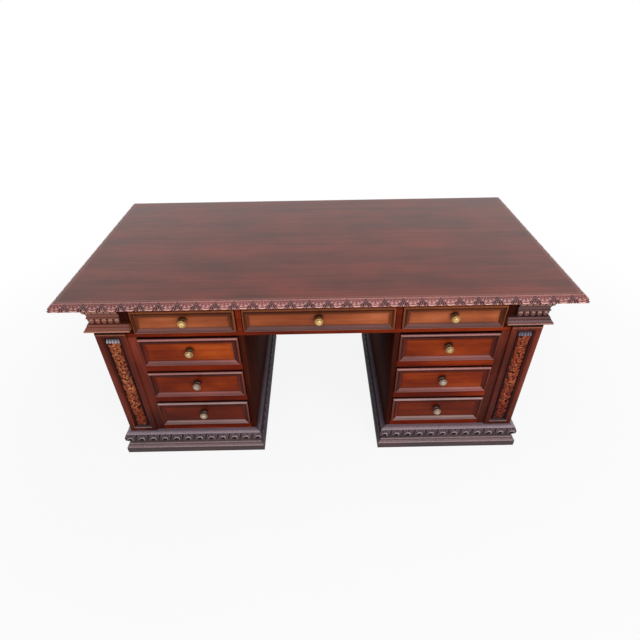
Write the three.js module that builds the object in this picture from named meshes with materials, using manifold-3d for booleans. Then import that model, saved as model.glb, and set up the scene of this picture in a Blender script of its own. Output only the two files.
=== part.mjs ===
import * as THREE from "three";
import { mergeVertices } from "three/addons/utils/BufferGeometryUtils.js";
import Module from "manifold-3d";

// Kneehole pedestal desk, millimetres, Z up, the front faces -Y, origin on the floor under the middle.
// The top part (board, carved edge, three-drawer frieze) stands on two pedestals with three drawers each.

// Whole desk
const deskWidth = 1728;
const deskDepth = 872;
const deskHeight = 780;
const topOverhang = 78;
const topThickness = 28;
const kneeholeWidth = 534;

// Edge of the top: four mitred lengths planted round the board
const edgeMouldingWidth = 22;

// Carcass boards
const boardThickness = 20;
const faceFrameThickness = 22;
const dustBoardThickness = 12;
const planeSetback = 8;
const friezeBoardThickness = 16;
const friezeHeight = 148;
const friezeRailHeight = 45.5;
const stileWidth = 29;
const guideWidth = 12;
const guideHeight = 18;

// Panels let into the outside faces
const panelMargin = 62;
const panelBevel = 14;
const panelDepth = 6;

// Drawers
const drawersPerPedestal = 3;
const drawerRailHeight = 29;
const lowestRailReveal = 26.5;
const spaceBehindDrawers = 60;
const drawerSideGap = 2;
const drawerBottomGap = 1.5;
const drawerTopGap = 6;
const pedestalTopGap = 8;
const runningGap = 0.3;
const drawerBackThickness = 20;
const drawerFieldStep = 1;
const drawerMouldingWidth = 23;
const drawerWall = 12;
const drawerFloor = 8;
const drawerBoxShortfall = 17;

// Knobs
const knobLength = 31;
const knobRadius = 15.5;
const knobRise = 4;
const knobSegments = 16;

// Pilasters, their carved drops and the capitals over them
const pilasterWidth = 108;
const pilasterReturn = 58;
const pilasterBorder = 18;
const pilasterBevel = 11;
const carvingSideGap = 2;
const carvingEndGap = 4;
const carvingBase = 2;
const carvingRelief = 7;
const carvingHusks = 9;
const capitalHeight = 120;
const capitalGap = 18;
const capitalStep = 25;
const capitalReach = 20;
const lobeCount = 5;
const lobeHeight = 20;
const lobeRelief = 6;

// Plinth and carved base moulding
const plinthHeight = 47;
const plinthReach = 28;
const plinthWall = 48;
const baseMouldingHeight = 57;

// Overrun of a cutter past the face that it opens
const overrun = 5;

// Profiles, as shares of projection (first) and of height (second), from the foot up
const edgeProfileShares = [[0, 0], [0.5, 0], [0.56, 0.12], [0.78, 0.26], [0.95, 0.34],
  [1, 0.46], [0.95, 0.58], [0.78, 0.7], [0.56, 0.81], [0.3, 0.92], [0.19, 1], [0, 1]];
const plinthProfileShares = [[0, 0], [1, 0], [1, 0.57], [0.97, 0.66], [0.85, 0.76],
  [0.83, 0.84], [0.72, 0.93], [0.67, 1], [0, 1]];
const baseProfileShares = [[0, 0], [0.57, 0], [0.57, 0.19], [0.78, 0.26], [0.94, 0.4],
  [1, 0.58], [0.94, 0.75], [0.78, 0.88], [0.5, 0.965], [0.33, 1], [0, 1]];
const capitalFootShares = [[0, 0], [1, 0], [1, 0.24], [0.89, 0.46], [0.72, 0.64],
  [0.68, 0.84], [0.53, 1], [0, 1]];
const capitalBlockShares = [[0, 0], [0.32, 0], [0.32, 0.45], [0.36, 0.48], [0.6, 0.52],
  [0.75, 0.62], [0.82, 0.75], [1, 0.9], [1, 1], [0, 1]];
const drawerMouldingShares = [[0, 0], [0.06, 0.6], [0.2, 1], [0.36, 1], [0.5, 0.7],
  [0.62, 0.62], [0.85, 0.18], [1, 0]];
const knobProfileShares = [[0.6, 0], [0.6, 0.06], [0.44, 0.1], [0.4, 0.4], [0.5, 0.52],
  [0.9, 0.58], [1, 0.66], [0.96, 0.74], [0.62, 0.78], [0.54, 0.84], [0.46, 0.92], [0.28, 0.98]];

// Places that follow from the sizes above
const bodyX = deskWidth / 2 - topOverhang;
const bodyY = deskDepth / 2 - topOverhang;
const coreX = bodyX - planeSetback;
const coreY = bodyY - planeSetback;
const caseInnerX = coreX - boardThickness;
const caseInnerY = coreY - boardThickness;
const frameBackY = -coreY + faceFrameThickness;
const kneeX = kneeholeWidth / 2;
const kneeCoreX = kneeX + planeSetback;
const caseKneeX = kneeX + boardThickness;
const pilasterX = bodyX - pilasterWidth;
const stileX = pilasterX - stileWidth;
const drawerInnerX = caseKneeX + drawerSideGap;
const drawerOuterX = stileX - drawerSideGap;
const drawerWidth = drawerOuterX - drawerInnerX;
const middleDrawerWidth = 2 * (kneeX - drawerSideGap);
const drawerLength = caseInnerY - spaceBehindDrawers + coreY - drawerBackThickness;
const topUnderside = deskHeight - topThickness;
const capitalBottom = topUnderside - capitalHeight;
const pilasterTop = capitalBottom - capitalGap;
const friezeFloorZ = topUnderside - friezeHeight;
const pedestalHeight = friezeFloorZ - friezeBoardThickness;
const friezeRailZ = topUnderside - friezeRailHeight;
const friezeDrawerZ = friezeFloorZ + drawerBottomGap;
const friezeDrawerHeight = friezeRailZ - drawerTopGap - friezeDrawerZ;
const baseTopZ = plinthHeight + baseMouldingHeight;
const drawerSpacing = drawerRailHeight + drawerTopGap + drawerBottomGap;
const drawerColumnHeight = pedestalHeight - pedestalTopGap - baseTopZ - lowestRailReveal - drawerBottomGap;
const drawerRise = (drawerColumnHeight + drawerSpacing) / drawersPerPedestal;
const drawerHeight = drawerRise - drawerSpacing;
const upperDrawerZ = pedestalHeight - pedestalTopGap - drawerHeight;

const wasm = await Module();
wasm.setup();

const mahogany = finish("#6e2f1c", 0.38, 0);
const darkMahogany = finish("#33191a", 0.42, 0);
const topMahogany = finish("#5a2a22", 0.3, 0);
const carvedMahogany = finish("#8a4526", 0.5, 0);
const drawerMahogany = finish("#8b3d1f", 0.36, 0);
const drawerLiningWood = finish("#b08a5c", 0.7, 0);
const agedBrass = finish("#b79a63", 0.35, 1);

// Surface of one kind of piece
function finish(color, roughness, metalness) {
  return new THREE.MeshStandardMaterial({ color, roughness, metalness });
}

// Named mesh of one piece
function piece(name, geometry, material) {
  const mesh = new THREE.Mesh(geometry, material);
  mesh.name = name;
  return mesh;
}

// Left or right, as a word and as a sign along X
function sideName(side) {
  return side < 0 ? "left" : "right";
}

// Block between two x, two y and two z values, in any order
function block(xs, ys, zs) {
  const size = [xs, ys, zs].map(([a, b]) => Math.abs(b - a));
  const centre = [xs, ys, zs].map(([a, b]) => (a + b) / 2);
  return new THREE.BoxGeometry(...size).translate(...centre);
}

// Six times the signed volume of a triangle mesh
function signedVolume(geometry) {
  const place = geometry.getAttribute("position");
  const index = geometry.getIndex();
  const corner = [new THREE.Vector3(), new THREE.Vector3(), new THREE.Vector3()];
  let sum = 0;
  for (let i = 0; i < index.count; i += 3) {
    corner.forEach((point, k) => point.fromBufferAttribute(place, index.getX(i + k)));
    sum += corner[0].dot(corner[1].clone().cross(corner[2]));
  }
  return sum;
}

// Mesh from points and triangles, with its faces turned outwards
function outward(points, triangles) {
  const geometry = new THREE.BufferGeometry();
  geometry.setAttribute("position", new THREE.Float32BufferAttribute(points.flat(), 3));
  geometry.setIndex(triangles.flat());
  if (signedVolume(geometry) < 0) {
    geometry.setIndex(triangles.map(([a, b, c]) => [a, c, b]).flat());
  }
  geometry.computeVertexNormals();
  return geometry;
}

// Solid through a row of matching sections; outline is the flat form of a section, for the two ends
function loft(sections, outline, isLoop) {
  const count = outline.length;
  const points = sections.flat();
  const triangles = [];
  const spans = isLoop ? sections.length : sections.length - 1;
  for (let s = 0; s < spans; s += 1) {
    const near = s * count;
    const far = ((s + 1) % sections.length) * count;
    for (let i = 0; i < count; i += 1) {
      const next = (i + 1) % count;
      triangles.push([near + i, near + next, far + next], [near + i, far + next, far + i]);
    }
  }
  if (!isLoop) {
    const flat = outline.map(([a, b]) => new THREE.Vector2(a, b));
    const faces = THREE.ShapeUtils.triangulateShape(flat, []);
    const last = (sections.length - 1) * count;
    const turned = THREE.ShapeUtils.isClockWise(flat);
    for (const [a, b, c] of faces) {
      triangles.push(turned ? [a, b, c] : [a, c, b]);
      triangles.push(turned ? [last + a, last + c, last + b] : [last + a, last + b, last + c]);
    }
  }
  return outward(points, triangles);
}

// Closed geometry as a solid that can be joined and cut
function solidOf(geometry) {
  const bare = geometry.clone();
  bare.deleteAttribute("normal");
  bare.deleteAttribute("uv");
  const merged = mergeVertices(bare);
  return new wasm.Manifold(new wasm.Mesh({
    numProp: 3,
    vertProperties: new Float32Array(merged.getAttribute("position").array),
    triVerts: new Uint32Array(merged.getIndex().array),
  }));
}

// Geometry of a finished solid
function geometryOf(solid) {
  const mesh = solid.getMesh();
  const geometry = new THREE.BufferGeometry();
  geometry.setAttribute("position", new THREE.BufferAttribute(mesh.vertProperties, 3));
  geometry.setIndex(new THREE.BufferAttribute(mesh.triVerts, 1));
  geometry.computeVertexNormals();
  return geometry;
}

// One geometry from several that touch or cross, less the cutters
function shaped(parts, cutters = []) {
  let solid = solidOf(parts[0]);
  for (const part of parts.slice(1)) {
    solid = solid.add(solidOf(part));
  }
  for (const cutter of cutters) {
    solid = solid.subtract(solidOf(cutter));
  }
  return geometryOf(solid);
}

// Profile points in real sizes: projection from inner to outer, height from foot to top
function profile(shares, inner, outer, foot, top) {
  return shares.map(([a, b]) => [inner + a * (outer - inner), foot + b * (top - foot)]);
}

// Moulding carried right round a rectangle, mitred at its four corners
function mouldingRing(points, xLow, xHigh, yLow, yHigh) {
  const corners = [[xLow, yLow, -1, -1], [xHigh, yLow, 1, -1], [xHigh, yHigh, 1, 1], [xLow, yHigh, -1, 1]];
  const sections = corners.map(([x, y, sx, sy]) => points.map(([out, z]) => [x + sx * out, y + sy * out, z]));
  return loft(sections, points, true);
}

// Pyramid-sided sinking for a framed panel: mouth at depth 0, floor at the given depth along normal axis
function sinking(width, height, depth, bevel) {
  const ring = (inset, level) => {
    const halfWidth = width / 2 - inset;
    const halfHeight = height / 2 - inset;
    return [[-halfWidth, level, -halfHeight], [halfWidth, level, -halfHeight],
      [halfWidth, level, halfHeight], [-halfWidth, level, halfHeight]];
  };
  const slope = bevel / depth;
  const sections = [ring(-overrun * slope, -overrun), ring(bevel, depth)];
  return loft(sections, ring(0, 0).map(([x, , z]) => [x, z]), false);
}

// Board of the top
function topBoard() {
  const halfX = deskWidth / 2 - edgeMouldingWidth;
  const halfY = deskDepth / 2 - edgeMouldingWidth;
  return piece("top_board", block([-halfX, halfX], [-halfY, halfY], [topUnderside, deskHeight]), topMahogany);
}

// Four mitred lengths of edge moulding round the board
function topMouldings() {
  const points = profile(edgeProfileShares, 0, edgeMouldingWidth, topUnderside, deskHeight);
  const sides = [
    ["front", deskWidth, deskDepth, 0], ["right", deskDepth, deskWidth, 1],
    ["back", deskWidth, deskDepth, 2], ["left", deskDepth, deskWidth, 3],
  ];
  return sides.map(([name, length, across, quarter]) => {
    const halfLength = length / 2 - edgeMouldingWidth;
    const face = across / 2 - edgeMouldingWidth;
    const sections = [-1, 1].map((end) => points.map(([out, z]) => [end * (halfLength + out), -face - out, z]));
    const mesh = piece(`top_moulding_${name}`, loft(sections, points, false), topMahogany);
    mesh.rotation.z = quarter * Math.PI / 2;
    return mesh;
  });
}

// Bottom board of the frieze, with a guide strip outside each end drawer
function friezeBottomBoard() {
  const parts = [block([-coreX, coreX], [-coreY, coreY], [pedestalHeight, friezeFloorZ])];
  for (const side of [-1, 1]) {
    parts.push(block([side * stileX, side * (stileX + guideWidth)], [frameBackY, caseInnerY],
      [friezeFloorZ - overrun, friezeFloorZ + guideHeight]));
  }
  return piece("frieze_bottom_board", shaped(parts), mahogany);
}

// Top rail of the frieze with the two partitions that stand beside the middle drawer
function friezePartitionFrame() {
  const parts = [block([-stileX, stileX], [-coreY, frameBackY], [friezeRailZ, topUnderside])];
  for (const side of [-1, 1]) {
    parts.push(block([side * kneeX, side * caseKneeX], [-coreY, caseInnerY], [friezeFloorZ, topUnderside]));
  }
  return piece("frieze_partition_frame", shaped(parts), mahogany);
}

// End board of the frieze with the corner stile glued to it
function friezeEnd(side) {
  const zs = [friezeFloorZ, topUnderside];
  const parts = [
    block([side * caseInnerX, side * coreX], [-coreY, coreY], zs),
    block([side * stileX, side * coreX], [-coreY, frameBackY], zs),
  ];
  return piece(`frieze_end_${sideName(side)}`, shaped(parts), mahogany);
}

// Back board of the frieze
function friezeBack() {
  const geometry = block([-caseInnerX, caseInnerX], [caseInnerY, coreY], [friezeFloorZ, topUnderside]);
  return piece("frieze_back", geometry, mahogany);
}

// Capital over a pilaster: a moulded foot, a row of lobes on a block, and a flaring leaf band
function capital(side) {
  const stepZ = capitalBottom + capitalStep;
  const foot = profile(capitalFootShares, -planeSetback, capitalReach, capitalBottom, stepZ);
  const head = profile(capitalBlockShares, -planeSetback, capitalReach, stepZ, topUnderside);
  const parts = [cornerRun(side, foot, stileX), cornerRun(side, head, pilasterX)];
  const lobePitch = pilasterWidth / lobeCount;
  const lobeZ = stepZ + lobeHeight / 2;
  for (let i = 0; i < lobeCount; i += 1) {
    parts.push(lobe(lobePitch).translate(side * (pilasterX + (i + 1 / 2) * lobePitch), -bodyY, lobeZ));
  }
  const returnLobes = Math.floor(pilasterReturn / lobePitch);
  for (let i = 0; i < returnLobes; i += 1) {
    parts.push(lobe(lobePitch).rotateZ(Math.PI / 2).translate(side * bodyX, -bodyY + (i + 1 / 2) * lobePitch, lobeZ));
  }
  return piece(`capital_${sideName(side)}`, shaped(parts), mahogany);
}

// Moulding along the front from an inner x and back along the side, mitred at the corner
function cornerRun(side, points, innerX) {
  const sections = [
    points.map(([out, z]) => [side * innerX, -bodyY - out, z]),
    points.map(([out, z]) => [side * (bodyX + out), -bodyY - out, z]),
    points.map(([out, z]) => [side * (bodyX + out), -bodyY + pilasterReturn, z]),
  ];
  return loft(sections, points, false);
}

// One rounded lobe of the row under the capital's leaf band, as wide as its share of the pitch
function lobe(pitch) {
  const widthShare = 0.9;
  const turns = 8;
  const rings = 6;
  return new THREE.SphereGeometry(1, turns, rings)
    .rotateX(Math.PI / 2)
    .scale(pitch * widthShare / 2, lobeRelief, lobeHeight / 2);
}

// Corner post of a pedestal: a core that stands on the plinth, and the pilaster skin in front of it
function frontPost(side) {
  const parts = [
    block([side * stileX, side * coreX], [-coreY, frameBackY], [plinthHeight, pedestalHeight]),
    block([side * pilasterX, side * bodyX], [-bodyY, -coreY], [baseTopZ, pilasterTop]),
    block([side * coreX, side * bodyX], [-bodyY, -bodyY + pilasterReturn], [baseTopZ, pilasterTop]),
    block([side * pilasterX, side * coreX], [-bodyY, frameBackY], [baseTopZ, pedestalHeight]),
  ];
  const width = pilasterWidth - 2 * pilasterBorder;
  const height = pilasterTop - baseTopZ - 2 * pilasterBorder;
  const cutter = sinking(width, height, planeSetback, pilasterBevel)
    .translate(side * (pilasterX + pilasterWidth / 2), -bodyY, (pilasterTop + baseTopZ) / 2);
  return piece(`front_post_${sideName(side)}`, shaped(parts, [cutter]), mahogany);
}

// Carved drop of leaves and husks planted in the sinking of the pilaster
function pilasterCarving(side) {
  const inset = pilasterBorder + pilasterBevel;
  const width = pilasterWidth - 2 * (inset + carvingSideGap);
  const low = baseTopZ + inset + carvingEndGap;
  const high = pilasterTop - inset - carvingEndGap;
  const halfWidth = width / 2;
  const ground = block([-halfWidth, halfWidth], [-coreY - carvingBase, -coreY], [low, high]);
  const pitch = (high - low) / carvingHusks;
  const parts = [ground];
  for (let i = 0; i < carvingHusks; i += 1) {
    parts.push(husk(low + (i + 1 / 2) * pitch, halfWidth, pitch / 2));
  }
  const mesh = piece(`pilaster_carving_${sideName(side)}`, shaped(parts), carvedMahogany);
  mesh.position.x = side * (pilasterX + pilasterWidth / 2);
  return mesh;
}

// One husk of the drop: a faceted swelling, widest above its middle
function husk(z, halfWidth, halfHeight) {
  const rimShares = [[0, -1], [0.62, -0.45], [0.96, 0.3], [0.55, 0.9], [0, 0.98]];
  const rightSide = rimShares.map(([a, b]) => [a * halfWidth, b * halfHeight]);
  const leftSide = rightSide.slice(1, -1).reverse().map(([x, h]) => [-x, h]);
  const rim = [...rightSide, ...leftSide];
  const crownShare = 0.35;
  const ringAt = (sizeShare, level) => rim.map(([x, h]) => [x * sizeShare, level, z + h * sizeShare]);
  const sections = [
    ringAt(1, -coreY - carvingBase / 2),
    ringAt(1, -coreY - carvingBase - carvingRelief * crownShare),
    ringAt(crownShare, -coreY - carvingBase - carvingRelief),
  ];
  return loft(sections, rim, false);
}

// Outer side of a pedestal, a board with one sunk panel
function outerSide(side) {
  const ys = [frameBackY, coreY];
  const zs = [plinthHeight, pedestalHeight];
  const board = block([side * caseInnerX, side * coreX], ys, zs);
  const panelLowY = -bodyY + pilasterReturn + panelMargin;
  const panelHighY = coreY - panelMargin;
  const panelLowZ = baseTopZ + panelMargin;
  const panelHighZ = pedestalHeight - panelMargin;
  const cutter = sinking(panelHighY - panelLowY, panelHighZ - panelLowZ, panelDepth, panelBevel)
    .rotateZ(side * Math.PI / 2)
    .translate(side * coreX, (panelLowY + panelHighY) / 2, (panelLowZ + panelHighZ) / 2);
  return piece(`outer_side_${sideName(side)}`, shaped([board], [cutter]), mahogany);
}

// Kneehole side of a pedestal; its front edge shows beside the drawers, its foot stands back
function innerSide(side) {
  const ys = [-coreY, coreY];
  const parts = [
    block([side * kneeX, side * caseKneeX], ys, [baseTopZ, pedestalHeight]),
    block([side * kneeCoreX, side * caseKneeX], ys, [plinthHeight, pedestalHeight]),
  ];
  return piece(`inner_side_${sideName(side)}`, shaped(parts), darkMahogany);
}

// Back board of a pedestal with one sunk panel
function backPanel(side) {
  const board = block([side * caseKneeX, side * caseInnerX], [caseInnerY, coreY],
    [plinthHeight, pedestalHeight]);
  const panelLowZ = baseTopZ + panelMargin;
  const panelHighZ = pedestalHeight - panelMargin;
  const panelWidth = caseInnerX - caseKneeX - 2 * panelMargin;
  const cutter = sinking(panelWidth, panelHighZ - panelLowZ, panelDepth, panelBevel)
    .rotateZ(Math.PI)
    .translate(side * (caseKneeX + caseInnerX) / 2, coreY, (panelLowZ + panelHighZ) / 2);
  return piece(`back_panel_${sideName(side)}`, shaped([board], [cutter]), mahogany);
}

// Rail under a drawer, with the dust board behind it and the strip that guides the drawer
function drawerRail(side, name, railLow, railTop) {
  const parts = [
    block([side * caseKneeX, side * stileX], [-coreY, frameBackY], [railLow, railTop]),
    block([side * caseKneeX, side * stileX], [-coreY, caseInnerY], [railTop - dustBoardThickness, railTop]),
    block([side * stileX, side * caseInnerX], [frameBackY, caseInnerY],
      [railTop - dustBoardThickness, railTop]),
    block([side * stileX, side * (stileX + guideWidth)], [frameBackY, caseInnerY],
      [railTop - dustBoardThickness, railTop + guideHeight]),
  ];
  return piece(`${name}_drawer_rail_${sideName(side)}`, shaped(parts), mahogany);
}

// Rails under the three drawers of a pedestal, from the top down
function drawerRails(side) {
  return ["upper", "centre", "lower"].map((name, level) => {
    const drawerZ = upperDrawerZ - level * drawerRise;
    const nextTop = drawerZ - drawerRise + drawerHeight + drawerTopGap;
    const railLow = name === "lower" ? plinthHeight : nextTop;
    return drawerRail(side, name, railLow, drawerZ - drawerBottomGap);
  });
}

// Base moulding and plinth of a pedestal, both carried right round it
function pedestalBase(side) {
  const low = side < 0 ? -bodyX : kneeX;
  const high = side < 0 ? -kneeX : bodyX;
  const basePoints = profile(baseProfileShares, -planeSetback, plinthReach, plinthHeight, baseTopZ);
  const plinthPoints = profile(plinthProfileShares, plinthReach - plinthWall, plinthReach, 0, plinthHeight);
  return [
    piece(`base_moulding_${sideName(side)}`, mouldingRing(basePoints, low, high, -bodyY, bodyY), darkMahogany),
    piece(`plinth_${sideName(side)}`, mouldingRing(plinthPoints, low, high, -bodyY, bodyY), darkMahogany),
  ];
}

// Front of a drawer: a mitred moulding round a sunk field, in the drawer's own frame
function drawerFront(width, height) {
  const rise = planeSetback - drawerFieldStep;
  const rectangle = (inset, out) => {
    const halfWidth = width / 2 - inset;
    return [[-halfWidth, -out, inset], [halfWidth, -out, inset],
      [halfWidth, -out, height - inset], [-halfWidth, -out, height - inset]];
  };
  const sections = [rectangle(0, -drawerBackThickness)];
  for (const [a, b] of drawerMouldingShares) {
    sections.push(rectangle(a * drawerMouldingWidth, drawerFieldStep + b * rise));
  }
  return loft(sections, rectangle(0, 0).map(([x, , z]) => [x, z]), false);
}

// Sides, back and floor of a drawer, open towards its front
function drawerBox(width, height) {
  const halfWidth = width / 2;
  const low = runningGap - drawerBottomGap;
  const high = height - drawerBoxShortfall;
  const near = drawerBackThickness;
  const far = near + drawerLength;
  const tray = block([-halfWidth, halfWidth], [near, far], [low, high]);
  const room = block([-halfWidth + drawerWall, halfWidth - drawerWall], [near - overrun, far - drawerWall],
    [low + drawerFloor, high + overrun]);
  return shaped([tray], [room]);
}

// Turned knob: a stem, a dished disc and a raised centre
function knob() {
  const points = knobProfileShares.map(([a, b]) => new THREE.Vector2(a * knobRadius, b * knobLength));
  const outline = [new THREE.Vector2(0, 0), ...points, new THREE.Vector2(0, knobLength)];
  const turned = new THREE.LatheGeometry(outline, knobSegments);
  return shaped([turned]).rotateX(Math.PI);
}

// One whole drawer; x is its middle and z the lower edge of its front
function drawer(name, x, z, width, height) {
  const group = new THREE.Group();
  group.position.set(x, -coreY, z);
  const handle = piece(`${name}_knob`, knob(), agedBrass);
  handle.position.set(0, -drawerFieldStep, height / 2 + knobRise);
  group.add(
    piece(`${name}_front`, drawerFront(width, height), drawerMahogany),
    piece(`${name}_box`, drawerBox(width, height), drawerLiningWood),
    handle,
  );
  return group;
}

// The three drawers of the frieze
function friezeDrawers() {
  const sideX = (drawerInnerX + drawerOuterX) / 2;
  return [
    drawer("frieze_drawer_left", -sideX, friezeDrawerZ, drawerWidth, friezeDrawerHeight),
    drawer("frieze_drawer_middle", 0, friezeDrawerZ, middleDrawerWidth, friezeDrawerHeight),
    drawer("frieze_drawer_right", sideX, friezeDrawerZ, drawerWidth, friezeDrawerHeight),
  ];
}

// The three drawers of a pedestal, from the top down
function pedestalDrawers(side) {
  const x = side * (drawerInnerX + drawerOuterX) / 2;
  return ["upper", "centre", "lower"].map((name, level) => (
    drawer(`${name}_drawer_${sideName(side)}`, x, upperDrawerZ - level * drawerRise, drawerWidth, drawerHeight)
  ));
}

// A pedestal with its drawers
function pedestal(side) {
  const group = new THREE.Group();
  group.add(
    ...pedestalBase(side), frontPost(side), pilasterCarving(side), outerSide(side),
    innerSide(side), backPanel(side), ...drawerRails(side), ...pedestalDrawers(side),
  );
  return group;
}

// Top part: the board with its edge, the frieze, the capitals and three drawers
function topPart() {
  const group = new THREE.Group();
  group.add(
    topBoard(), ...topMouldings(), friezeBottomBoard(), friezePartitionFrame(),
    friezeEnd(-1), friezeEnd(1), friezeBack(), capital(-1), capital(1), ...friezeDrawers(),
  );
  return group;
}

const desk = new THREE.Group();
desk.add(topPart(), pedestal(-1), pedestal(1));

export default desk;
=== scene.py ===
import math

import bmesh
import bpy
import numpy as np
from mathutils import Matrix, Vector


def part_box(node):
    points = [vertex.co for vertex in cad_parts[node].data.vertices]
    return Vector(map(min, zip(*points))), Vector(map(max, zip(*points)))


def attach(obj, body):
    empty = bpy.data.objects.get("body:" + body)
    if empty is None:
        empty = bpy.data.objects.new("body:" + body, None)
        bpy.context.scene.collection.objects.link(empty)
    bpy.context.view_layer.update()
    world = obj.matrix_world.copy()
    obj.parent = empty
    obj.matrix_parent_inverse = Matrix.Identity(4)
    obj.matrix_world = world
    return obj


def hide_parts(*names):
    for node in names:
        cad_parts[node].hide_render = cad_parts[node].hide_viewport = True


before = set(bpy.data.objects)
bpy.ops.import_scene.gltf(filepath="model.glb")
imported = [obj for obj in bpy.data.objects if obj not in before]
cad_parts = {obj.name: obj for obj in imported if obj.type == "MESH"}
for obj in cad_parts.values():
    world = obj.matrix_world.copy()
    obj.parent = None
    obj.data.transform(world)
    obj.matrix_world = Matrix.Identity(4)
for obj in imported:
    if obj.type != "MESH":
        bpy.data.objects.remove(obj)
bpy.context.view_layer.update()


# Case boards of the pedestals: outer sides, backs, kneehole sides, and the rails under the drawers.
# Mahogany boards, stained, filled and French polished by hand, then glued and screwed together. Use has
# rubbed their edges round, the sunk panels are painted dark round their edges as dirt and shade, and
# the kneehole sides are painted nearly black as shade.
BOARD_EDGE, PANEL_SHADE_BAND = 0.0012, 0.022
BOARD_SHIFT, AXIS_SHIFT = (1.7, 0.37, 0.91), 3.1


def linear(code):
    channels = [int(code[i:i + 2], 16) / 255 for i in (1, 3, 5)]
    return [c / 12.92 if c <= 0.04045 else ((c + 0.055) / 1.055) ** 2.4 for c in channels] + [1]


def add(tree, kind, settings, inputs):
    """Adds a node; an input is a plain value or another node's output."""
    made = tree.nodes.new(kind)
    for name, value in settings.items():
        setattr(made, name, value)
    for name, value in inputs.items():
        if isinstance(value, bpy.types.NodeSocket):
            tree.links.new(value, made.inputs[name])
        else:
            made.inputs[name].default_value = value
    return made


def new_material(name):
    """A material, its nodes and the shader among them."""
    material = bpy.data.materials.new(name)
    material.use_nodes = True
    return material, material.node_tree, material.node_tree.nodes["Principled BSDF"]


def mahogany(name, shade, body, light, roughness, shine, hollow="#120706", worn="#9a6248", streaky=0.5):
    """Polished mahogany. Long streaks run with the board, short dark pores lie in them and broad clouds
    of stain lie across them. Arrises are painted pale in patches, as wear and highlight, and hollows
    dull and dark, as dirt and shade."""
    material, tree, shader = new_material(name)
    grain = add(tree, "ShaderNodeAttribute", {"attribute_name": "grain"}, {}).outputs["Vector"]
    # Repeats in a metre, along and across the board: streaks of 30 mm, ribbons of 8 mm and clouds of
    # 110 mm. Pores are 0.2 mm wide in the real wood, too fine to show, and are drawn 1.4 mm wide.
    patterns = []
    for stretch, detail, rough, twist in (((1.3, 34, 34), 6, 0.62, 0.5), ((0.5, 120, 120), 2, 0.5, 0),
                                          ((4, 9, 9), 3, 0.5, 0), ((45, 700, 700), 1, 0.5, 0)):
        place = add(tree, "ShaderNodeVectorMath", {"operation": "MULTIPLY"}, {0: grain, 1: stretch})
        patterns.append(add(tree, "ShaderNodeTexNoise", {}, {
            "Vector": place.outputs[0], "Scale": 1, "Detail": detail, "Roughness": rough,
            "Distortion": twist}).outputs["Fac"])
    streak, ribbon, cloud, pore = patterns
    tone = add(tree, "ShaderNodeMix", {"data_type": "FLOAT"}, {0: 0.3, 2: streak, 3: ribbon}).outputs[0]
    tone = add(tree, "ShaderNodeMix", {"data_type": "FLOAT"}, {0: streaky, 2: cloud, 3: tone}).outputs[0]
    ramp = add(tree, "ShaderNodeValToRGB", {}, {"Fac": tone})
    ramp.color_ramp.elements[0].position = 0.38
    ramp.color_ramp.elements[0].color = linear(shade)
    ramp.color_ramp.elements[1].position = 0.62
    ramp.color_ramp.elements[1].color = linear(light)
    middle = ramp.color_ramp.elements.new(0.5)
    middle.color = linear(body)
    open_pore = add(tree, "ShaderNodeMapRange", {}, {
        "Value": pore, "From Min": 0.6, "From Max": 0.75, "To Min": 0, "To Max": 0.55}).outputs[0]
    colour = add(tree, "ShaderNodeMix", {"data_type": "RGBA"}, {
        0: open_pore, 6: ramp.outputs["Color"], 7: linear(shade)}).outputs[2]
    # The pale patches, of wear and painted highlight, are broken up by spots of about 4 mm.
    place = add(tree, "ShaderNodeTexCoord", {}, {}).outputs["Object"]
    spots = add(tree, "ShaderNodeTexNoise", {}, {"Vector": place, "Scale": 230, "Detail": 3}).outputs["Fac"]
    spots = add(tree, "ShaderNodeMapRange", {}, {
        "Value": spots, "From Min": 0.35, "From Max": 0.65, "To Min": 0.6, "To Max": 1.2}).outputs[0]
    rubbed_and_lit = add(tree, "ShaderNodeAttribute", {"attribute_name": "worn"}, {}).outputs["Fac"]
    rubbed_and_lit = add(tree, "ShaderNodeMath", {"operation": "MULTIPLY", "use_clamp": True}, {
        0: rubbed_and_lit, 1: spots}).outputs[0]
    # The pale colour paints wear and highlights where the mesh asks, the dark one dirt and painted shade.
    dirt_and_shade = add(tree, "ShaderNodeAttribute", {"attribute_name": "hollow"}, {}).outputs["Fac"]
    for share, over in ((rubbed_and_lit, worn), (dirt_and_shade, hollow)):
        colour = add(tree, "ShaderNodeMix", {"data_type": "RGBA"}, {
            0: share, 6: colour, 7: linear(over)}).outputs[2]
    tree.links.new(colour, shader.inputs["Base Color"])
    gloss = add(tree, "ShaderNodeMapRange", {}, {
        "Value": cloud, "From Min": 0.3, "From Max": 0.7,
        "To Min": roughness - 0.05, "To Max": roughness + 0.07}).outputs[0]
    gloss = add(tree, "ShaderNodeMath", {"operation": "MULTIPLY_ADD"}, {
        0: dirt_and_shade, 1: 0.35, 2: gloss}).outputs[0]
    tree.links.new(gloss, shader.inputs["Roughness"])
    height = add(tree, "ShaderNodeMath", {"operation": "MULTIPLY_ADD"}, {
        0: open_pore, 1: -0.5, 2: cloud}).outputs[0]
    bump = add(tree, "ShaderNodeBump", {}, {"Height": height, "Strength": 0.2, "Distance": 0.0004})
    tree.links.new(bump.outputs["Normal"], shader.inputs["Normal"])
    shader.inputs["Specular IOR Level"].default_value = shine
    return material


def copy_of(node):
    """Whole mesh of a CAD piece, its loose triangles joined and its flat faces made one."""
    mesh = bmesh.new()
    mesh.from_mesh(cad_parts[node].data)
    bmesh.ops.remove_doubles(mesh, verts=mesh.verts, dist=1e-5)
    bmesh.ops.dissolve_limit(mesh, angle_limit=math.radians(1), verts=mesh.verts, edges=mesh.edges)
    return mesh


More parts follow.
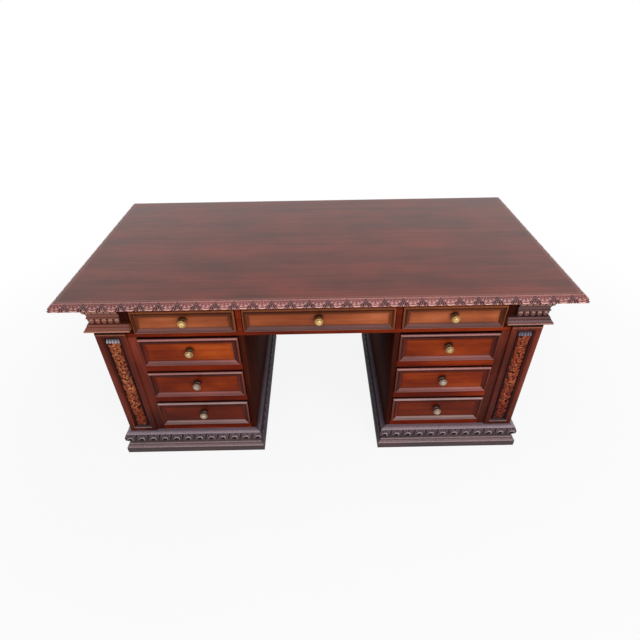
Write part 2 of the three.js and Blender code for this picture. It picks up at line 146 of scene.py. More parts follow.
def rub_edges(mesh):
    """Rounds every arris of a board."""
    edges = [e for e in mesh.edges if len(e.link_faces) == 2 and e.calc_face_angle(0) > math.radians(20)]
    bmesh.ops.bevel(mesh, geom=edges, offset=BOARD_EDGE, segments=2, profile=0.5, affect="EDGES",
                    clamp_overlap=True)
    return mesh


def shade_panel_edge(mesh, outward):
    """Painted dirt and shade along the edge of the sunk panel, which is the largest face on a board's
    outer side.
    """
    panel = max((f for f in mesh.faces if f.normal.dot(Vector(outward)) > 0.99), key=lambda f: f.calc_area())
    hollow = mesh.verts.layers.float.new("hollow")
    edge = list(panel.verts)
    bmesh.ops.inset_individual(mesh, faces=[panel], thickness=PANEL_SHADE_BAND)
    # The panel's rim is painted dark, as dirt and shade in the recess.
    for vert in edge:
        vert[hollow] = 0.8


def finished(mesh, name):
    """Turns an edited mesh into mesh data; sharp edges stay sharp and the rest is smooth."""
    data = bpy.data.meshes.new(name)
    mesh.to_mesh(data)
    mesh.free()
    data.polygons.foreach_set("use_smooth", [True] * len(data.polygons))
    data.set_sharp_from_angle(angle=math.radians(32))
    return data


def lay_grain(data, direction, board):
    """Stores the place in the board, with the length of the board first. The direction is 0, 1 or 2
    for X, Y or Z, or a function that gives one for each face centre. Each board number is other wood."""
    centres = np.empty(len(data.polygons) * 3)
    data.polygons.foreach_get("center", centres)
    centres = centres.reshape(-1, 3)
    axis = direction(centres) if callable(direction) else np.full(len(centres), direction)
    sizes = np.empty(len(data.polygons), int)
    data.polygons.foreach_get("loop_total", sizes)
    corners = np.empty(len(data.loops), int)
    data.loops.foreach_get("vertex_index", corners)
    places = np.empty(len(data.vertices) * 3)
    data.vertices.foreach_get("co", places)
    order = np.array([(0, 1, 2), (1, 0, 2), (2, 0, 1)])[np.repeat(axis.astype(int), sizes)]
    along = np.take_along_axis(places.reshape(-1, 3)[corners], order, axis=1)
    along += np.array(BOARD_SHIFT) * board + order[:, :1] * AXIS_SHIFT
    layer = data.attributes.new("grain", "FLOAT_VECTOR", "CORNER")
    layer.data.foreach_set("vector", along.ravel())


def put_in_scene(name, data):
    made = bpy.data.objects.new(name, data)
    bpy.context.scene.collection.objects.link(made)
    return made


def set_in_place(data, finishes, body, slot, *nodes):
    """Makes the finished mesh a piece of the desk that stands for its CAD nodes."""
    piece = put_in_scene(data.name, data)
    for finish in finishes:
        data.materials.append(finish)
    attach(piece, body)
    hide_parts(*nodes)


# French polish gives the case a soft gloss. The boards in shade, the kneehole sides, the top's
# underside and the fronts of the frieze ends, are painted nearly black and dull as shade.
case_mahogany = mahogany("french_polished_mahogany", "#4a1206", "#6e200a", "#8a3210", 0.32, 0.04)
dark_mahogany = mahogany("darkened_mahogany", "#2a0f0a", "#36150e", "#421c13", 0.6, 0.003)
for side_number, (side, sign) in enumerate((("left", -1), ("right", 1))):
    boards = [(f"outer_side_{side}", 2, (sign, 0, 0)), (f"back_panel_{side}", 2, (0, 1, 0)),
              (f"inner_side_{side}", 2, None)]
    boards += [(f"{level}_drawer_rail_{side}", 0, None) for level in ("upper", "centre", "lower")]
    for number, (node, direction, panel_way) in enumerate(boards):
        mesh = rub_edges(copy_of(node))
        if panel_way:
            shade_panel_edge(mesh, panel_way)
        board = finished(mesh, f"{node}_board")
        lay_grain(board, direction, 1 + number + 10 * side_number)
        # The kneehole sides are painted nearly black as shade.
        if node == f"inner_side_{side}":
            set_in_place(board, [dark_mahogany], "carcass", "dark_mahogany", node)
        else:
            set_in_place(board, [case_mahogany], "carcass", "mahogany", node)


# Plinths and carved base mouldings, which go right round each pedestal and are mitred at its corners.
# Mahogany run to a profile, the moulding then carved with deep ovals under a rolled rim and leaning pleats
# between them. Stained almost black, painted grey where it stands out as wear and sheen, and darker on
# the kneehole side as shade.
BODY_X, BODY_Y, KNEE_X = 0.786, 0.358, 0.267
PLINTH_PROFILE = [(-20, 0), (-20, 0), (28, 0), (28, 0), (28, 25.5), (27.3, 28.2), (25.5, 29.6), (25.5, 29.6),
                  (24.3, 31), (21.6, 35.2), (19.8, 38.4), (19.8, 38.4), (18.4, 38.8), (18.4, 38.8),
                  (16.6, 41.5), (14, 43.6), (12.3, 44.2), (12.3, 44.2), (12.3, 47), (12.3, 47),
                  (-20, 47), (-20, 47)]
PLINTH_FOOT, PLINTH_ARRIS, PLINTH_SLOPE, PLINTH_CREST = 0.0265, 0.029, 0.0296, 0.042
PLINTH_QUIRKS = (0.0386, 0.0448)
BASE_PROFILE = [(-8, 47), (-8, 47), (12.5, 47), (12.5, 47), (12.5, 56.5), (12.5, 56.5), (15.5, 58.2),
                (21, 62.5), (25.2, 69.5), (26.6, 80), (25, 89), (20.6, 97), (15.5, 100.6), (15.5, 100.6),
                (12.4, 101.2), (12.4, 101.2), (4, 104), (4, 104), (-8, 104), (-8, 104)]
BASE_CARVED, BASE_DUST_AND_HIGHLIGHT = (6, 15), (0.1008, 0.105)
BASE_REACH, BASE_PITCH = 0.028, 0.048
CARVING_STEPS = 30


def through(points, steps=4):
    """Smooth line through points in millimetres, in metres. A point given twice is a sharp corner."""
    chains, chain = [], [points[0]]
    for before, point in zip(points, points[1:]):
        if point == before:
            chains.append(chain)
            chain = [point]
        else:
            chain.append(point)
    chains.append(chain)
    line = []
    for chain in chains:
        padded = [chain[0], *chain, chain[-1]]
        count = 1 if len(chain) == 2 else steps
        for a, b, c, d in zip(padded, padded[1:], padded[2:], padded[3:]):
            for t in (k / count for k in range(count)):
                line.append([(2 * b[i] + (c[i] - a[i]) * t + (2 * a[i] - 5 * b[i] + 4 * c[i] - d[i]) * t * t
                              + (3 * b[i] - a[i] - 3 * c[i] + d[i]) * t ** 3) / 2000 for i in (0, 1)])
        line.append([chain[-1][0] / 1000, chain[-1][1] / 1000])
    clean = [line[0]]
    for point in line[1:]:
        if math.dist(point, clean[-1]) > 1e-6:
            clean.append(point)
    if math.dist(clean[0], clean[-1]) < 1e-6:
        clean.pop()
    return clean


def ridge(distance, width):
    """1 at no distance, fading out over about twice the width."""
    return np.exp(-(distance / width) ** 2)


def shade_and_wear_layers(mesh):
    """Layers for how much dirt and painted shade lie at a point, and for how far it is painted pale as
    wear and highlight.
    """
    return [mesh.verts.layers.float.new(name) for name in ("hollow", "worn")]


def skin_rings(mesh, rings):
    """Faces from each ring of points to the next."""
    for near, far in zip(rings, rings[1:]):
        for i in range(len(near)):
            j = (i + 1) % len(near)
            mesh.faces.new((near[i], near[j], far[j], far[i]))


def mitred_ring(profile, x_low, x_high, y_low, y_high):
    """A profile carried round a rectangle. Its points are how far out and how high they are. Its foot and
    quirks are painted dark, as dirt and shade, and its arris, crest and slope pale, as wear and sheen."""
    corners = [(x_low, y_low, -1, -1), (x_high, y_low, 1, -1), (x_high, y_high, 1, 1), (x_low, y_high, -1, 1)]
    mesh = bmesh.new()
    hollow, worn = shade_and_wear_layers(mesh)
    rings = [[mesh.verts.new((x + sx * out, y + sy * out, z)) for out, z in profile]
             for x, y, sx, sy in corners]
    for ring in rings:
        for vert, (out, z) in zip(ring, profile):
            vert[hollow] = max(0.45 * (z < PLINTH_FOOT), 0.8 * ridge(z - PLINTH_QUIRKS[0], 0.0005),
                               0.9 * ridge(z - PLINTH_QUIRKS[1], 0.0012))
            vert[worn] = (0.8 * ridge(z - PLINTH_ARRIS, 0.0012) + 0.35 * ridge(z - PLINTH_CREST, 0.001)
                          + 0.35 * (z > PLINTH_SLOPE))
    skin_rings(mesh, rings + rings[:1])
    return close_up(mesh)


def round_the_case(x_low, x_high, y_low, y_high):
    """Grain of four lengths that go round a rectangle: each one's own length."""
    def choose(centres):
        past_x = np.maximum(x_low - centres[:, 0], centres[:, 0] - x_high)
        past_y = np.maximum(y_low - centres[:, 1], centres[:, 1] - y_high)
        return np.where(past_x > past_y, 1, 0)
    return choose


def carved_motif(name, profile, carved, height, dust_and_highlight=(0, 0), shaded_heights=(0, 0), steps=CARVING_STEPS):
    """One repeat of a carved moulding, one unit long. The points from carved[0] to carved[1] of the given
    profile are cut to height(u, v), in metres outwards, with u along the run and v up the profile. Between
    the heights given for dust and highlight its plain parts are painted pale, as dust and highlight, and
    between those given for shade they are painted dark as shade."""
    first, last = carved
    plain_before = through(profile[:first + 1])
    face = np.array(through(profile[first:last + 1], 12))
    plain_after = through(profile[last:])
    reach = np.concatenate([[0], np.cumsum(np.linalg.norm(np.diff(face, axis=0), axis=1))])
    shares = np.linspace(0, 1, steps + 1)
    base = np.array([np.interp(shares * reach[-1], reach, face[:, i]) for i in (0, 1)]).T
    slope = np.gradient(base, axis=0)
    outward = np.array([slope[:, 1], -slope[:, 0]]).T / np.linalg.norm(slope, axis=1)[:, None]
    us = np.linspace(-0.5, 0.5, steps + 1)
    grid_u, grid_v = np.meshgrid(us, shares, indexing="ij")
    cut, dirt_and_shade, rubbed_and_lit = height(grid_u, grid_v)
    mesh = bmesh.new()
    hollow, worn = shade_and_wear_layers(mesh)
    columns = []

    def plain(u, points):
        made = []
        for out, z in points:
            vert = mesh.verts.new((u, -out, z))
            vert[worn] = 0.35 * (dust_and_highlight[0] < z < dust_and_highlight[1])
            vert[hollow] = 0.95 * (shaded_heights[0] < z < shaded_heights[1])
            made.append(vert)
        return made

    for i, u in enumerate(us):
        column = plain(u, plain_before[:-1])
        for j in range(steps + 1):
            out, z = base[j] + outward[j] * cut[i, j]
            vert = mesh.verts.new((u, -out, z))
            vert[hollow], vert[worn] = dirt_and_shade[i, j], rubbed_and_lit[i, j]
            column.append(vert)
        column += plain(u, plain_after[1:])
        columns.append(column)
    skin_rings(mesh, columns)
    data = bpy.data.meshes.new(name)
    mesh.to_mesh(data)
    mesh.free()
    return bpy.data.objects.new(name, data)


def planting_tree():
    """Geometry nodes that plant a motif all along straight lines, turned to follow each of them."""
    tree = bpy.data.node_groups.new("planted_row", "GeometryNodeTree")
    for name, kind in (("Lines", "NodeSocketGeometry"), ("Motif", "NodeSocketObject"),
                       ("Pitch", "NodeSocketFloat"), ("Finish", "NodeSocketMaterial")):
        tree.interface.new_socket(name, in_out="INPUT", socket_type=kind)
    tree.interface.new_socket("Row", in_out="OUTPUT", socket_type="NodeSocketGeometry")
    given = add(tree, "NodeGroupInput", {}, {}).outputs
    lines = add(tree, "GeometryNodeMeshToCurve", {}, {"Mesh": given["Lines"]}).outputs[0]
    # Just under the pitch, so that rounding loses no repeat; they are then spaced evenly all the same.
    nearly = add(tree, "ShaderNodeMath", {"operation": "MULTIPLY"}, {0: given["Pitch"], 1: 0.98}).outputs[0]
    marks = add(tree, "GeometryNodeResampleCurve", {"mode": "LENGTH"}, {
        "Curve": lines, "Length": nearly}).outputs[0]
    motif = add(tree, "GeometryNodeObjectInfo", {}, {"Object": given["Motif"]}).outputs["Geometry"]
    tangent = add(tree, "GeometryNodeInputTangent", {}, {}).outputs[0]
    turn = add(tree, "FunctionNodeAlignRotationToVector", {"axis": "X", "pivot_axis": "Z"}, {
        "Vector": tangent}).outputs[0]
    stretch = add(tree, "ShaderNodeCombineXYZ", {}, {"X": given["Pitch"], "Y": 1, "Z": 1}).outputs[0]
    planted = add(tree, "GeometryNodeInstanceOnPoints", {}, {
        "Points": marks, "Instance": motif, "Rotation": turn, "Scale": stretch}).outputs[0]
    real = add(tree, "GeometryNodeRealizeInstances", {}, {"Geometry": planted}).outputs[0]
    welded = add(tree, "GeometryNodeMergeByDistance", {}, {"Geometry": real, "Distance": 2e-5}).outputs[0]
    row = add(tree, "GeometryNodeSetMaterial", {}, {
        "Geometry": welded, "Material": given["Finish"]}).outputs[0]
    add(tree, "NodeGroupOutput", {}, {"Row": row})
    return tree


planted_row = planting_tree()


def cut_at(mesh, place, way, **more):
    """Cuts all faces of a mesh by the plane through a place, square to a way."""
    everything = [*mesh.verts, *mesh.edges, *mesh.faces]
    bmesh.ops.bisect_plane(mesh, geom=everything, plane_co=place, plane_no=way, **more)


def carved_run(motif, finish, start, end, count, outward, low_cut, high_cut):
    """A length of moulding from start to end with count repeats, and outward its way out. low_cut and
    high_cut are the corner points where it is mitred, or None where it is cut square."""
    start, end, outward = Vector(start), Vector(end), Vector(outward)
    along, pitch = (end - start).normalized(), (end - start).length / count
    line = bpy.data.meshes.new("line")
    line.from_pydata([start + along * pitch / 2, end - along * pitch / 2], [(0, 1)], [])
    row = put_in_scene("row", line)
    planting = row.modifiers.new("planting", "NODES")
    planting.node_group = planted_row
    sockets = {item.name: item.identifier for item in planted_row.interface.items_tree}
    planting[sockets["Motif"]] = motif
    planting[sockets["Pitch"]] = pitch
    planting[sockets["Finish"]] = finish
    row.update_tag()
    seen = row.evaluated_get(bpy.context.evaluated_depsgraph_get())
    plain = bpy.data.meshes.new_from_object(seen)
    row.modifiers.clear()
    bpy.data.objects.remove(row)
    mesh = bmesh.new()
    mesh.from_mesh(plain)
    bpy.data.meshes.remove(plain)
    for corner, sign in ((low_cut, -1), (high_cut, 1)):
        if corner is not None:
            cut_at(mesh, Vector(corner), (along * sign - outward).normalized(), dist=1e-6, clear_outer=True)
    return mesh


def joined(meshes):
    """One mesh from several, welded where they meet."""
    whole = bmesh.new()
    for mesh in meshes:
        part = bpy.data.meshes.new("part")
        mesh.to_mesh(part)
        mesh.free()
        whole.from_mesh(part)
        bpy.data.meshes.remove(part)
    bmesh.ops.remove_doubles(whole, verts=whole.verts, dist=3e-5)
    return whole


def close_up(mesh):
    """Closes the open ends of a mesh and turns its faces outwards."""
    bmesh.ops.holes_fill(mesh, edges=[e for e in mesh.edges if e.is_boundary], sides=0)
    bmesh.ops.recalc_face_normals(mesh, faces=mesh.faces)
    return mesh


def step_up(value, low, high):
    """0 up to low, 1 from high on, and a smooth rise between them."""
    share = np.clip((value - low) / (high - low), 0, 1)
    return share * share * (3 - 2 * share)


def four_sides(x_low, x_high, y_low, y_high):
    """For each side of a rectangle, from the front one on: both its corners, its direction, its way out."""
    corners = [(x_low, y_low, 0), (x_high, y_low, 0), (x_high, y_high, 0), (x_low, y_high, 0)]
    ways = [(1, 0, 0), (0, 1, 0), (-1, 0, 0), (0, -1, 0)]
    return [(Vector(corners[k]), Vector(corners[(k + 1) % 4]), Vector(ways[k]), Vector(ways[k - 1]))
            for k in range(4)]


def ovals_and_pleats(u, v):
    """A deep oval hole low on the face under a rolled rim, and shallow pleats over it and in each space
    between, all leaning to one side."""
    u = (u + 0.28 * (0.4 - v) + 0.5) % 1 - 0.5
    oval = np.hypot(u / 0.18, (v - 0.35) / 0.18)
    hole = 1 - step_up(oval, 0.7, 1.15)
    rim = ridge(oval - 1.45, 0.26) * step_up(v + 0.4 * u, 0.2, 0.5)
    side = 0.5 - np.abs(u)
    beside = step_up(oval, 1.5, 1.9) * (1 - step_up(v, 0.84, 0.92))
    pleats = (0.5 - 0.5 * np.cos(side / 0.13 * 2 * math.pi)) * beside
    seam = ridge(side, 0.03) * (1 - step_up(v, 0.8, 0.9))
    band = step_up(v, 0.86, 0.93)
    foot = 1 - step_up(v, 0.03, 0.12)
    cut = -0.0045 * hole + 0.0013 * rim - 0.0016 * pleats - 0.0015 * seam + 0.0005 * band - 0.001
    # Holes, pleats, seams and foot painted dark as dirt and shade; rim and top pale as wear and sheen.
    dirt_and_shade = np.clip(1 - step_up(oval, 1, 1.3) + 0.75 * pleats + 0.8 * seam + 0.6 * foot, 0, 1)
    rubbed_and_lit = np.clip(0.6 * rim + 0.35 * band + 0.5 * (1 - pleats) * step_up(v, 0.4, 0.7) - dirt_and_shade, 0, 1)
    return cut, dirt_and_shade, rubbed_and_lit


# Stain makes these almost black. What stands out is painted grey, as scuffs, dust and sheen, and the
# faces that look into the kneehole are painted darker as shade.
plinth_mahogany = mahogany("scuffed_dark_mahogany", "#2c191a", "#432728", "#5c3c3c", 0.3, 0.4,
                           hollow="#1a0e12", worn="#aa9092")
base_mahogany = mahogany("dusty_dark_mahogany", "#302022", "#493134", "#644a4e", 0.34, 0.25,
                         hollow="#070405", worn="#b8a4ac")
unlit_mahogany = mahogany("unworn_dark_mahogany", "#1e1417", "#2c2024", "#3e3036", 0.45, 0.08,
                          hollow="#080505", worn="#7e7078")
base_motif = carved_motif("oval_motif", BASE_PROFILE, BASE_CARVED, ovals_and_pleats, dust_and_highlight=BASE_DUST_AND_HIGHLIGHT)
for side, x_low, x_high, kneehole_way in (("left", -BODY_X, -KNEE_X, 1), ("right", KNEE_X, BODY_X, -1)):
    ring = (x_low, x_high, -BODY_Y, BODY_Y)
    plinth = finished(mitred_ring(through(PLINTH_PROFILE), *ring), f"plinth_{side}_moulded")
    lay_grain(plinth, round_the_case(*ring), 31)
    # Faces that look into the kneehole take the darker finish, painted as shade.
    for face in plinth.polygons:
        face.material_index = int(face.normal.x * kneehole_way > 0.3)
    set_in_place(plinth, [plinth_mahogany, unlit_mahogany], "carcass", "dark_mahogany", f"plinth_{side}")
    runs = []
    for low, high, along, outward in four_sides(*ring):
        start, end = low - along * BASE_REACH, high + along * BASE_REACH
        count = round((end - start).length / BASE_PITCH)
        run = carved_run(base_motif, base_mahogany, start, end, count, outward, low, high)
        for face in run.faces:
            face.material_index = int(outward.x == kneehole_way)
        runs.append(run)
    moulding = joined(runs)
    bmesh.ops.recalc_face_normals(moulding, faces=moulding.faces)
    moulding = finished(moulding, f"base_moulding_{side}_carved")
    lay_grain(moulding, round_the_case(*ring), 41)
    set_in_place(moulding, [base_mahogany, unlit_mahogany], "carcass", "dark_mahogany",
                 f"base_moulding_{side}")


# Corner posts with their pilasters: a flat border round a sunk panel, with a bead along its edge, and a
# thin bead across the post above. Mahogany, with a drop glued into each panel that is carved with leaves,
# berries and rosettes under a row of leaf tips. The drop is painted darker towards its foot as shade.
PILASTER_X, PILASTER_HALF, PANEL_BORDER = 0.732, 0.054, 0.018
PILASTER_LOW, PILASTER_HIGH = 0.104, 0.614
POST_CUTS = (0.13, 0.17, 0.22, 0.3, 0.608, 0.6095)
POST_DARK_FOOT, NECK_SHADOW, LEDGE_DUST_AND_HIGHLIGHT = (0.11, 0.3), 0.609, (0.118, 0.127)
PANEL_FRONT, PANEL_BACK, PANEL_HALF = -0.3565, -0.345, 0.0365
BEAD_PROFILE = [(-0.0012, -0.0005), (-0.0012, 0.0003), (-0.0005, 0.0012), (0.0008, 0.0015), (0.002, 0.0009),
                (0.0023, -0.0004), (0.0023, -0.002)]
BEAD_CUT = 0.128
DROP_HALF, DROP_LOW, DROP_HIGH = 0.0235, 0.1365, 0.5845
DROP_FLOOR, DROP_RELIEF, DROP_BEDDED = 0.350, 0.0085, 0.0005
DROP_COLUMNS, DROP_ROWS, DROP_ROUNDING, DROP_SHADED_FOOT = 41, 361, 0.0015, 0.22
DROP_TIER, DROP_LEAN = 0.0172, 0.002
LEAF_LENGTHS, LEAF_HALVES, LEAF_ASIDE, LEAF_SHIFT = (0.010, 0.0175), (0.0048, 0.0078), (0.005, 0.0155), 0.009
ROSETTE_RADIUS, BERRY_RADIUS, BERRY_SPREAD = 0.009, 0.0042, 0.009
CAP_HEIGHT, CAP_SCALLOP = 0.017, 0.0104
NECK_PROFILE = [(-3, 603.5), (-3, 603.5), (1, 603.5), (1.7, 605.8), (1, 608), (1, 608), (-3, 608), (-3, 608)]
NECK_ENDS = (0.679, 0.785)


def panel_bead(x_middle):
    """The bead along the edge of the sunk panel, mitred at its corners, with its lowest length painted pale
    as dust and a highlight.
    """
    half, low, high = PILASTER_HALF - PANEL_BORDER, PILASTER_LOW + PANEL_BORDER, PILASTER_HIGH - PANEL_BORDER
    corners = [(-1, low, 1), (1, low, 1), (1, high, -1), (-1, high, -1)]
    mesh = bmesh.new()
    worn = mesh.verts.layers.float.new("worn")
    rings = [[mesh.verts.new((x_middle + sx * (half - inset), -BODY_Y - out, z + sz * inset))
              for inset, out in BEAD_PROFILE] for sx, z, sz in corners]
    skin_rings(mesh, rings + rings[:1])
    cut_at(close_up(mesh), (0, 0, BEAD_CUT), (0, 0, 1))
    for vert in mesh.verts:
        vert[worn] = 0.75 * (vert.co.z < LEDGE_DUST_AND_HIGHLIGHT[1] and vert.co.y < -BODY_Y - 0.0006)
    return mesh


def drop_relief(x, z):
    """Height of the carved drop, from 0 to 1, at places across (x) and up (z) in metres, and how pale it is
    painted there, as rubbed polish and highlight."""
    rng = np.random.default_rng(11)
    height, rubbed_and_lit = np.full(x.shape, 0.2), np.zeros(x.shape)
    for k in range(int((DROP_HIGH - DROP_LOW - 0.02) / DROP_TIER) + 1):
        middle = DROP_LOW + (k + 0.4) * DROP_TIER
        lean, bright = rng.uniform(-DROP_LEAN, DROP_LEAN), rng.uniform(0.45, 1)
        for sign in (-1, 1, -1, 1):
            turn = sign * math.radians(rng.uniform(10, 75))
            px = x - lean - sign * rng.uniform(*LEAF_ASIDE)
            pz = z - middle + rng.uniform(-LEAF_SHIFT, LEAF_SHIFT)
            p = pz * math.cos(turn) + px * math.sin(turn)
            q = px * math.cos(turn) - pz * math.sin(turn)
            long, half = rng.uniform(*LEAF_LENGTHS), rng.uniform(*LEAF_HALVES)
            half = half * (1 + 0.2 * np.cos(p / long * math.pi * 3.5))
            inside = 1 - (p / long) ** 2 - (q / half) ** 2
            top = rng.uniform(0.55, 0.95)
            swell = (top - 0.2) * np.sqrt(np.clip(inside, 0, 1))
            leaf = np.where(inside > 0, 0.2 + swell + 0.14 * p / long, 0)
            leaf -= 0.22 * ridge(q, 0.0011) * (inside > 0)
            rubbed_and_lit = np.where(leaf > height, bright * rng.uniform(0.4, 1), rubbed_and_lit)
            height = np.maximum(height, leaf)
        px, pz = x - lean, z - middle - DROP_TIER / 2
        if k % 4 == 0:
            radius, angle = np.hypot(px, pz), np.arctan2(pz, px)
            petals = (1 - (radius / ROSETTE_RADIUS) ** 2) * (0.62 + 0.38 * np.cos(angle * 5))
            petals += 0.5 * ridge(radius, 0.0022)
            fruit = np.where(radius < ROSETTE_RADIUS, 0.5 + 0.5 * petals, 0)
        else:
            fruit = np.zeros(x.shape)
            for cx, cz in rng.uniform(-BERRY_SPREAD, BERRY_SPREAD, (4, 2)):
                ball = 1 - ((px - cx) ** 2 + (pz - cz) ** 2) / BERRY_RADIUS ** 2
                fruit = np.maximum(fruit, np.where(ball > 0, 0.45 + 0.5 * np.sqrt(np.clip(ball, 0, 1)), 0))
        rubbed_and_lit = np.where(fruit > height, bright, rubbed_and_lit)
        height = np.maximum(height, fruit)
    cap = z - (DROP_HIGH - CAP_HEIGHT)
    scallop = 0.55 + 0.45 * np.cos(x / CAP_SCALLOP * math.pi) ** 2
    shell = np.where(cap > 0, (1.0 - 0.7 * step_up(cap, 0.004, CAP_HEIGHT)) * scallop, 0)
    return np.clip(np.where(cap > 0, shell, height), 0, 1), np.where(cap > 0, 0.8, rubbed_and_lit)


def carved_drop(name, x_middle):
    """The drop as a solid: its carved face, and a flat back in the panel's floor. Its hollows and its foot
    are painted dark as shade, and its high parts pale as highlights."""
    across = np.linspace(-DROP_HALF, DROP_HALF, DROP_COLUMNS)
    up = np.linspace(DROP_LOW, DROP_HIGH, DROP_ROWS)
    grid_x, grid_z = np.meshgrid(across, up, indexing="ij")
    relief, bright = drop_relief(grid_x, grid_z)
    around = sum(np.roll(relief, shift, axis=(0, 1)) for shift in ((2, 0), (-2, 0), (0, 2), (0, -2))) / 4
    edge = np.minimum(1, (DROP_HALF - np.abs(grid_x)) / DROP_ROUNDING)
    sunk = np.clip((around - relief) * 3, 0, 1)
    shaded_foot = 0.75 * (1 - step_up(grid_z, DROP_LOW, DROP_LOW + DROP_SHADED_FOOT))
    # Hollows and the foot painted dark as shade; high parts painted pale as highlights.
    dark = np.clip(1.1 - 2.3 * relief + 0.8 * sunk + 0.7 * shaded_foot, 0, 0.95)
    light = np.clip((relief * 2.6 - 1.2) * bright - sunk - shaded_foot, 0, 1)
    mesh = bmesh.new()
    hollow, worn = shade_and_wear_layers(mesh)
    rows = []
    for i in range(len(across)):
        row = []
        for j in range(len(up)):
            out = DROP_FLOOR + DROP_RELIEF * relief[i, j] * edge[i, j]
            vert = mesh.verts.new((x_middle + across[i], -out, up[j]))
            vert[hollow], vert[worn] = dark[i, j], light[i, j]
            row.append(vert)
        rows.append(row)
    for near, far in zip(rows, rows[1:]):
        for j in range(len(up) - 1):
            face = mesh.faces.new((near[j], far[j], far[j + 1], near[j + 1]))
            face.material_index = int(up[j] > DROP_HIGH - CAP_HEIGHT)
    rim = [e for e in mesh.edges if e.is_boundary]
    made = bmesh.ops.extrude_edge_only(mesh, edges=rim)["geom"]
    for vert in (v for v in made if isinstance(v, bmesh.types.BMVert)):
        vert.co.y = -DROP_FLOOR + DROP_BEDDED
    return finished(close_up(mesh), name)


def neck_bead(sign):
    """The thin bead across the post, painted pale all over as a highlight, under the neck of the capital,
    where the post is painted dark as its shadow.
    """
    mesh = bmesh.new()
    worn = mesh.verts.layers.float.new("worn")
    rings = [[mesh.verts.new((sign * x, -BODY_Y - out, z)) for out, z in through(NECK_PROFILE)]
             for x in NECK_ENDS]
    for vert in mesh.verts:
        vert[worn] = 0.6
    skin_rings(mesh, rings)
    return close_up(mesh)


# Wax keeps the carving a bright red-brown, and its cap of leaf tips is painted grey. The right ones are
# copies painted darker as shade.
carved_mahogany = {
    "left": mahogany("bright_waxed_mahogany", "#561b0a", "#782d11", "#943f1a", 0.3, 0.15,
                     hollow="#180704", worn="#d08252"),
    # The right side's copy, painted darker as shade.
    "right": mahogany("deep_waxed_mahogany", "#4c1308", "#6c200c", "#883012", 0.3, 0.15,
                      hollow="#120504", worn="#b8643c"),
}
grey_cap_mahogany = {
    "left": mahogany("pale_bloomed_mahogany", "#4a4044", "#665c62", "#80787f", 0.35, 0.5,
                     hollow="#1e1619", worn="#b9b6bd"),
    "right": mahogany("grey_bloomed_mahogany", "#332c34", "#463e48", "#5a5360", 0.35, 0.4,
                      hollow="#140f14", worn="#7f7e90"),
}
post_mahogany = mahogany("darkened_post_mahogany", "#45170f", "#642719", "#823927", 0.3, 0.08,
                         hollow="#160809", worn="#ad7258")
for side, sign in (("left", -1), ("right", 1)):
    post = rub_edges(copy_of(f"front_post_{side}"))
    for level in POST_CUTS:
        cut_at(post, (0, 0, level), (0, 0, 1))
    dirt_and_shade = post.verts.layers.float.new("hollow")
    for vert in post.verts:
        x, y, z = vert.co
        # Darker towards the foot, and the sunk panel's floor painted dark as shade.
        vert[dirt_and_shade] = 0.6 * (1 - step_up(z, *POST_DARK_FOOT))
        in_panel = abs(x - sign * PILASTER_X) < PANEL_HALF and PILASTER_LOW < z < PILASTER_HIGH
        if in_panel and PANEL_FRONT < y < PANEL_BACK:
            vert[dirt_and_shade] = 1
        # Under the capital the post is painted dark as its shadow.
        if z > NECK_SHADOW and y < PANEL_BACK:
            vert[dirt_and_shade] = 0.8
    post = joined([post, panel_bead(sign * PILASTER_X), neck_bead(sign)])
    post = finished(post, f"front_post_{side}_board")
    lay_grain(post, 2, 51 + sign)
    for face in post.polygons:
        # The ledge at the panel's foot takes the grey finish, painted as dust and a highlight.
        low_ledge = LEDGE_DUST_AND_HIGHLIGHT[0] < face.center.z < LEDGE_DUST_AND_HIGHLIGHT[1]
        if low_ledge and face.normal.z > 0.15 and face.normal.y < -0.15:
            face.material_index = 1
    set_in_place(post, [post_mahogany, plinth_mahogany], "carcass", "mahogany", f"front_post_{side}")
    drop = carved_drop(f"pilaster_carving_{side}_drop", sign * PILASTER_X)
    lay_grain(drop, 2, 61 + sign)
    set_in_place(drop, [carved_mahogany[side], grey_cap_mahogany[side]], "carcass", "carved_mahogany",
                 f"pilaster_carving_{side}")


# Nine drawers. Each front is a plain mahogany field in a mitred moulding: a rounded arris, two sloping
# bands with a quirk between them, and the field. The box behind it is planed oak, left unpolished. The
# ledges are painted pale as dust and sheen, the upper rows are lighter, and the turned brass knobs are
# painted greyer lower down as a reflection of the floor.
CORE_Y = 0.350
FRONT_PROFILE = [(0, -20), (0, -20), (0, 0.6), (0, 0.6), (0.4, 3), (1.8, 5.5), (4.2, 7.4), (6.4, 8),
                 (7.5, 7.8), (7.5, 7.8), (7.8, 6.6), (8.8, 6.3), (8.8, 6.3), (9.2, 7.2), (9.2, 7.2),
                 (13.8, 4.6), (13.8, 4.6), (14.2, 5.3), (14.2, 5.3), (21.6, 1.3), (23, 1), (23, 1),
                 (33, 1), (33, 1)]
FRONT_QUIRKS = ((0.0084, 0.0008, 0.9), (0.0138, 0.0003, 0.8), (0.0228, 0.002, 0.45))
RIM_FOOT, RIM_CREST = 0.002, 0.003
LOW_LEDGE, TOP_LEDGE = (0.004, 0.0216), (0.0001, 0.0064)
MOULDING_WIDTH, FIELD_PROUD = 0.023, 0.0012
DRAWER_ROWS = {
    "frieze": ("#854126", "#a45732", "#c4714a"),
    "upper": ("#6a2008", "#8d360e", "#ae4d1a"),
    "centre": ("#581706", "#7b2a0b", "#973e12"),
    "lower": ("#421107", "#5c1d0c", "#732a12"),
}
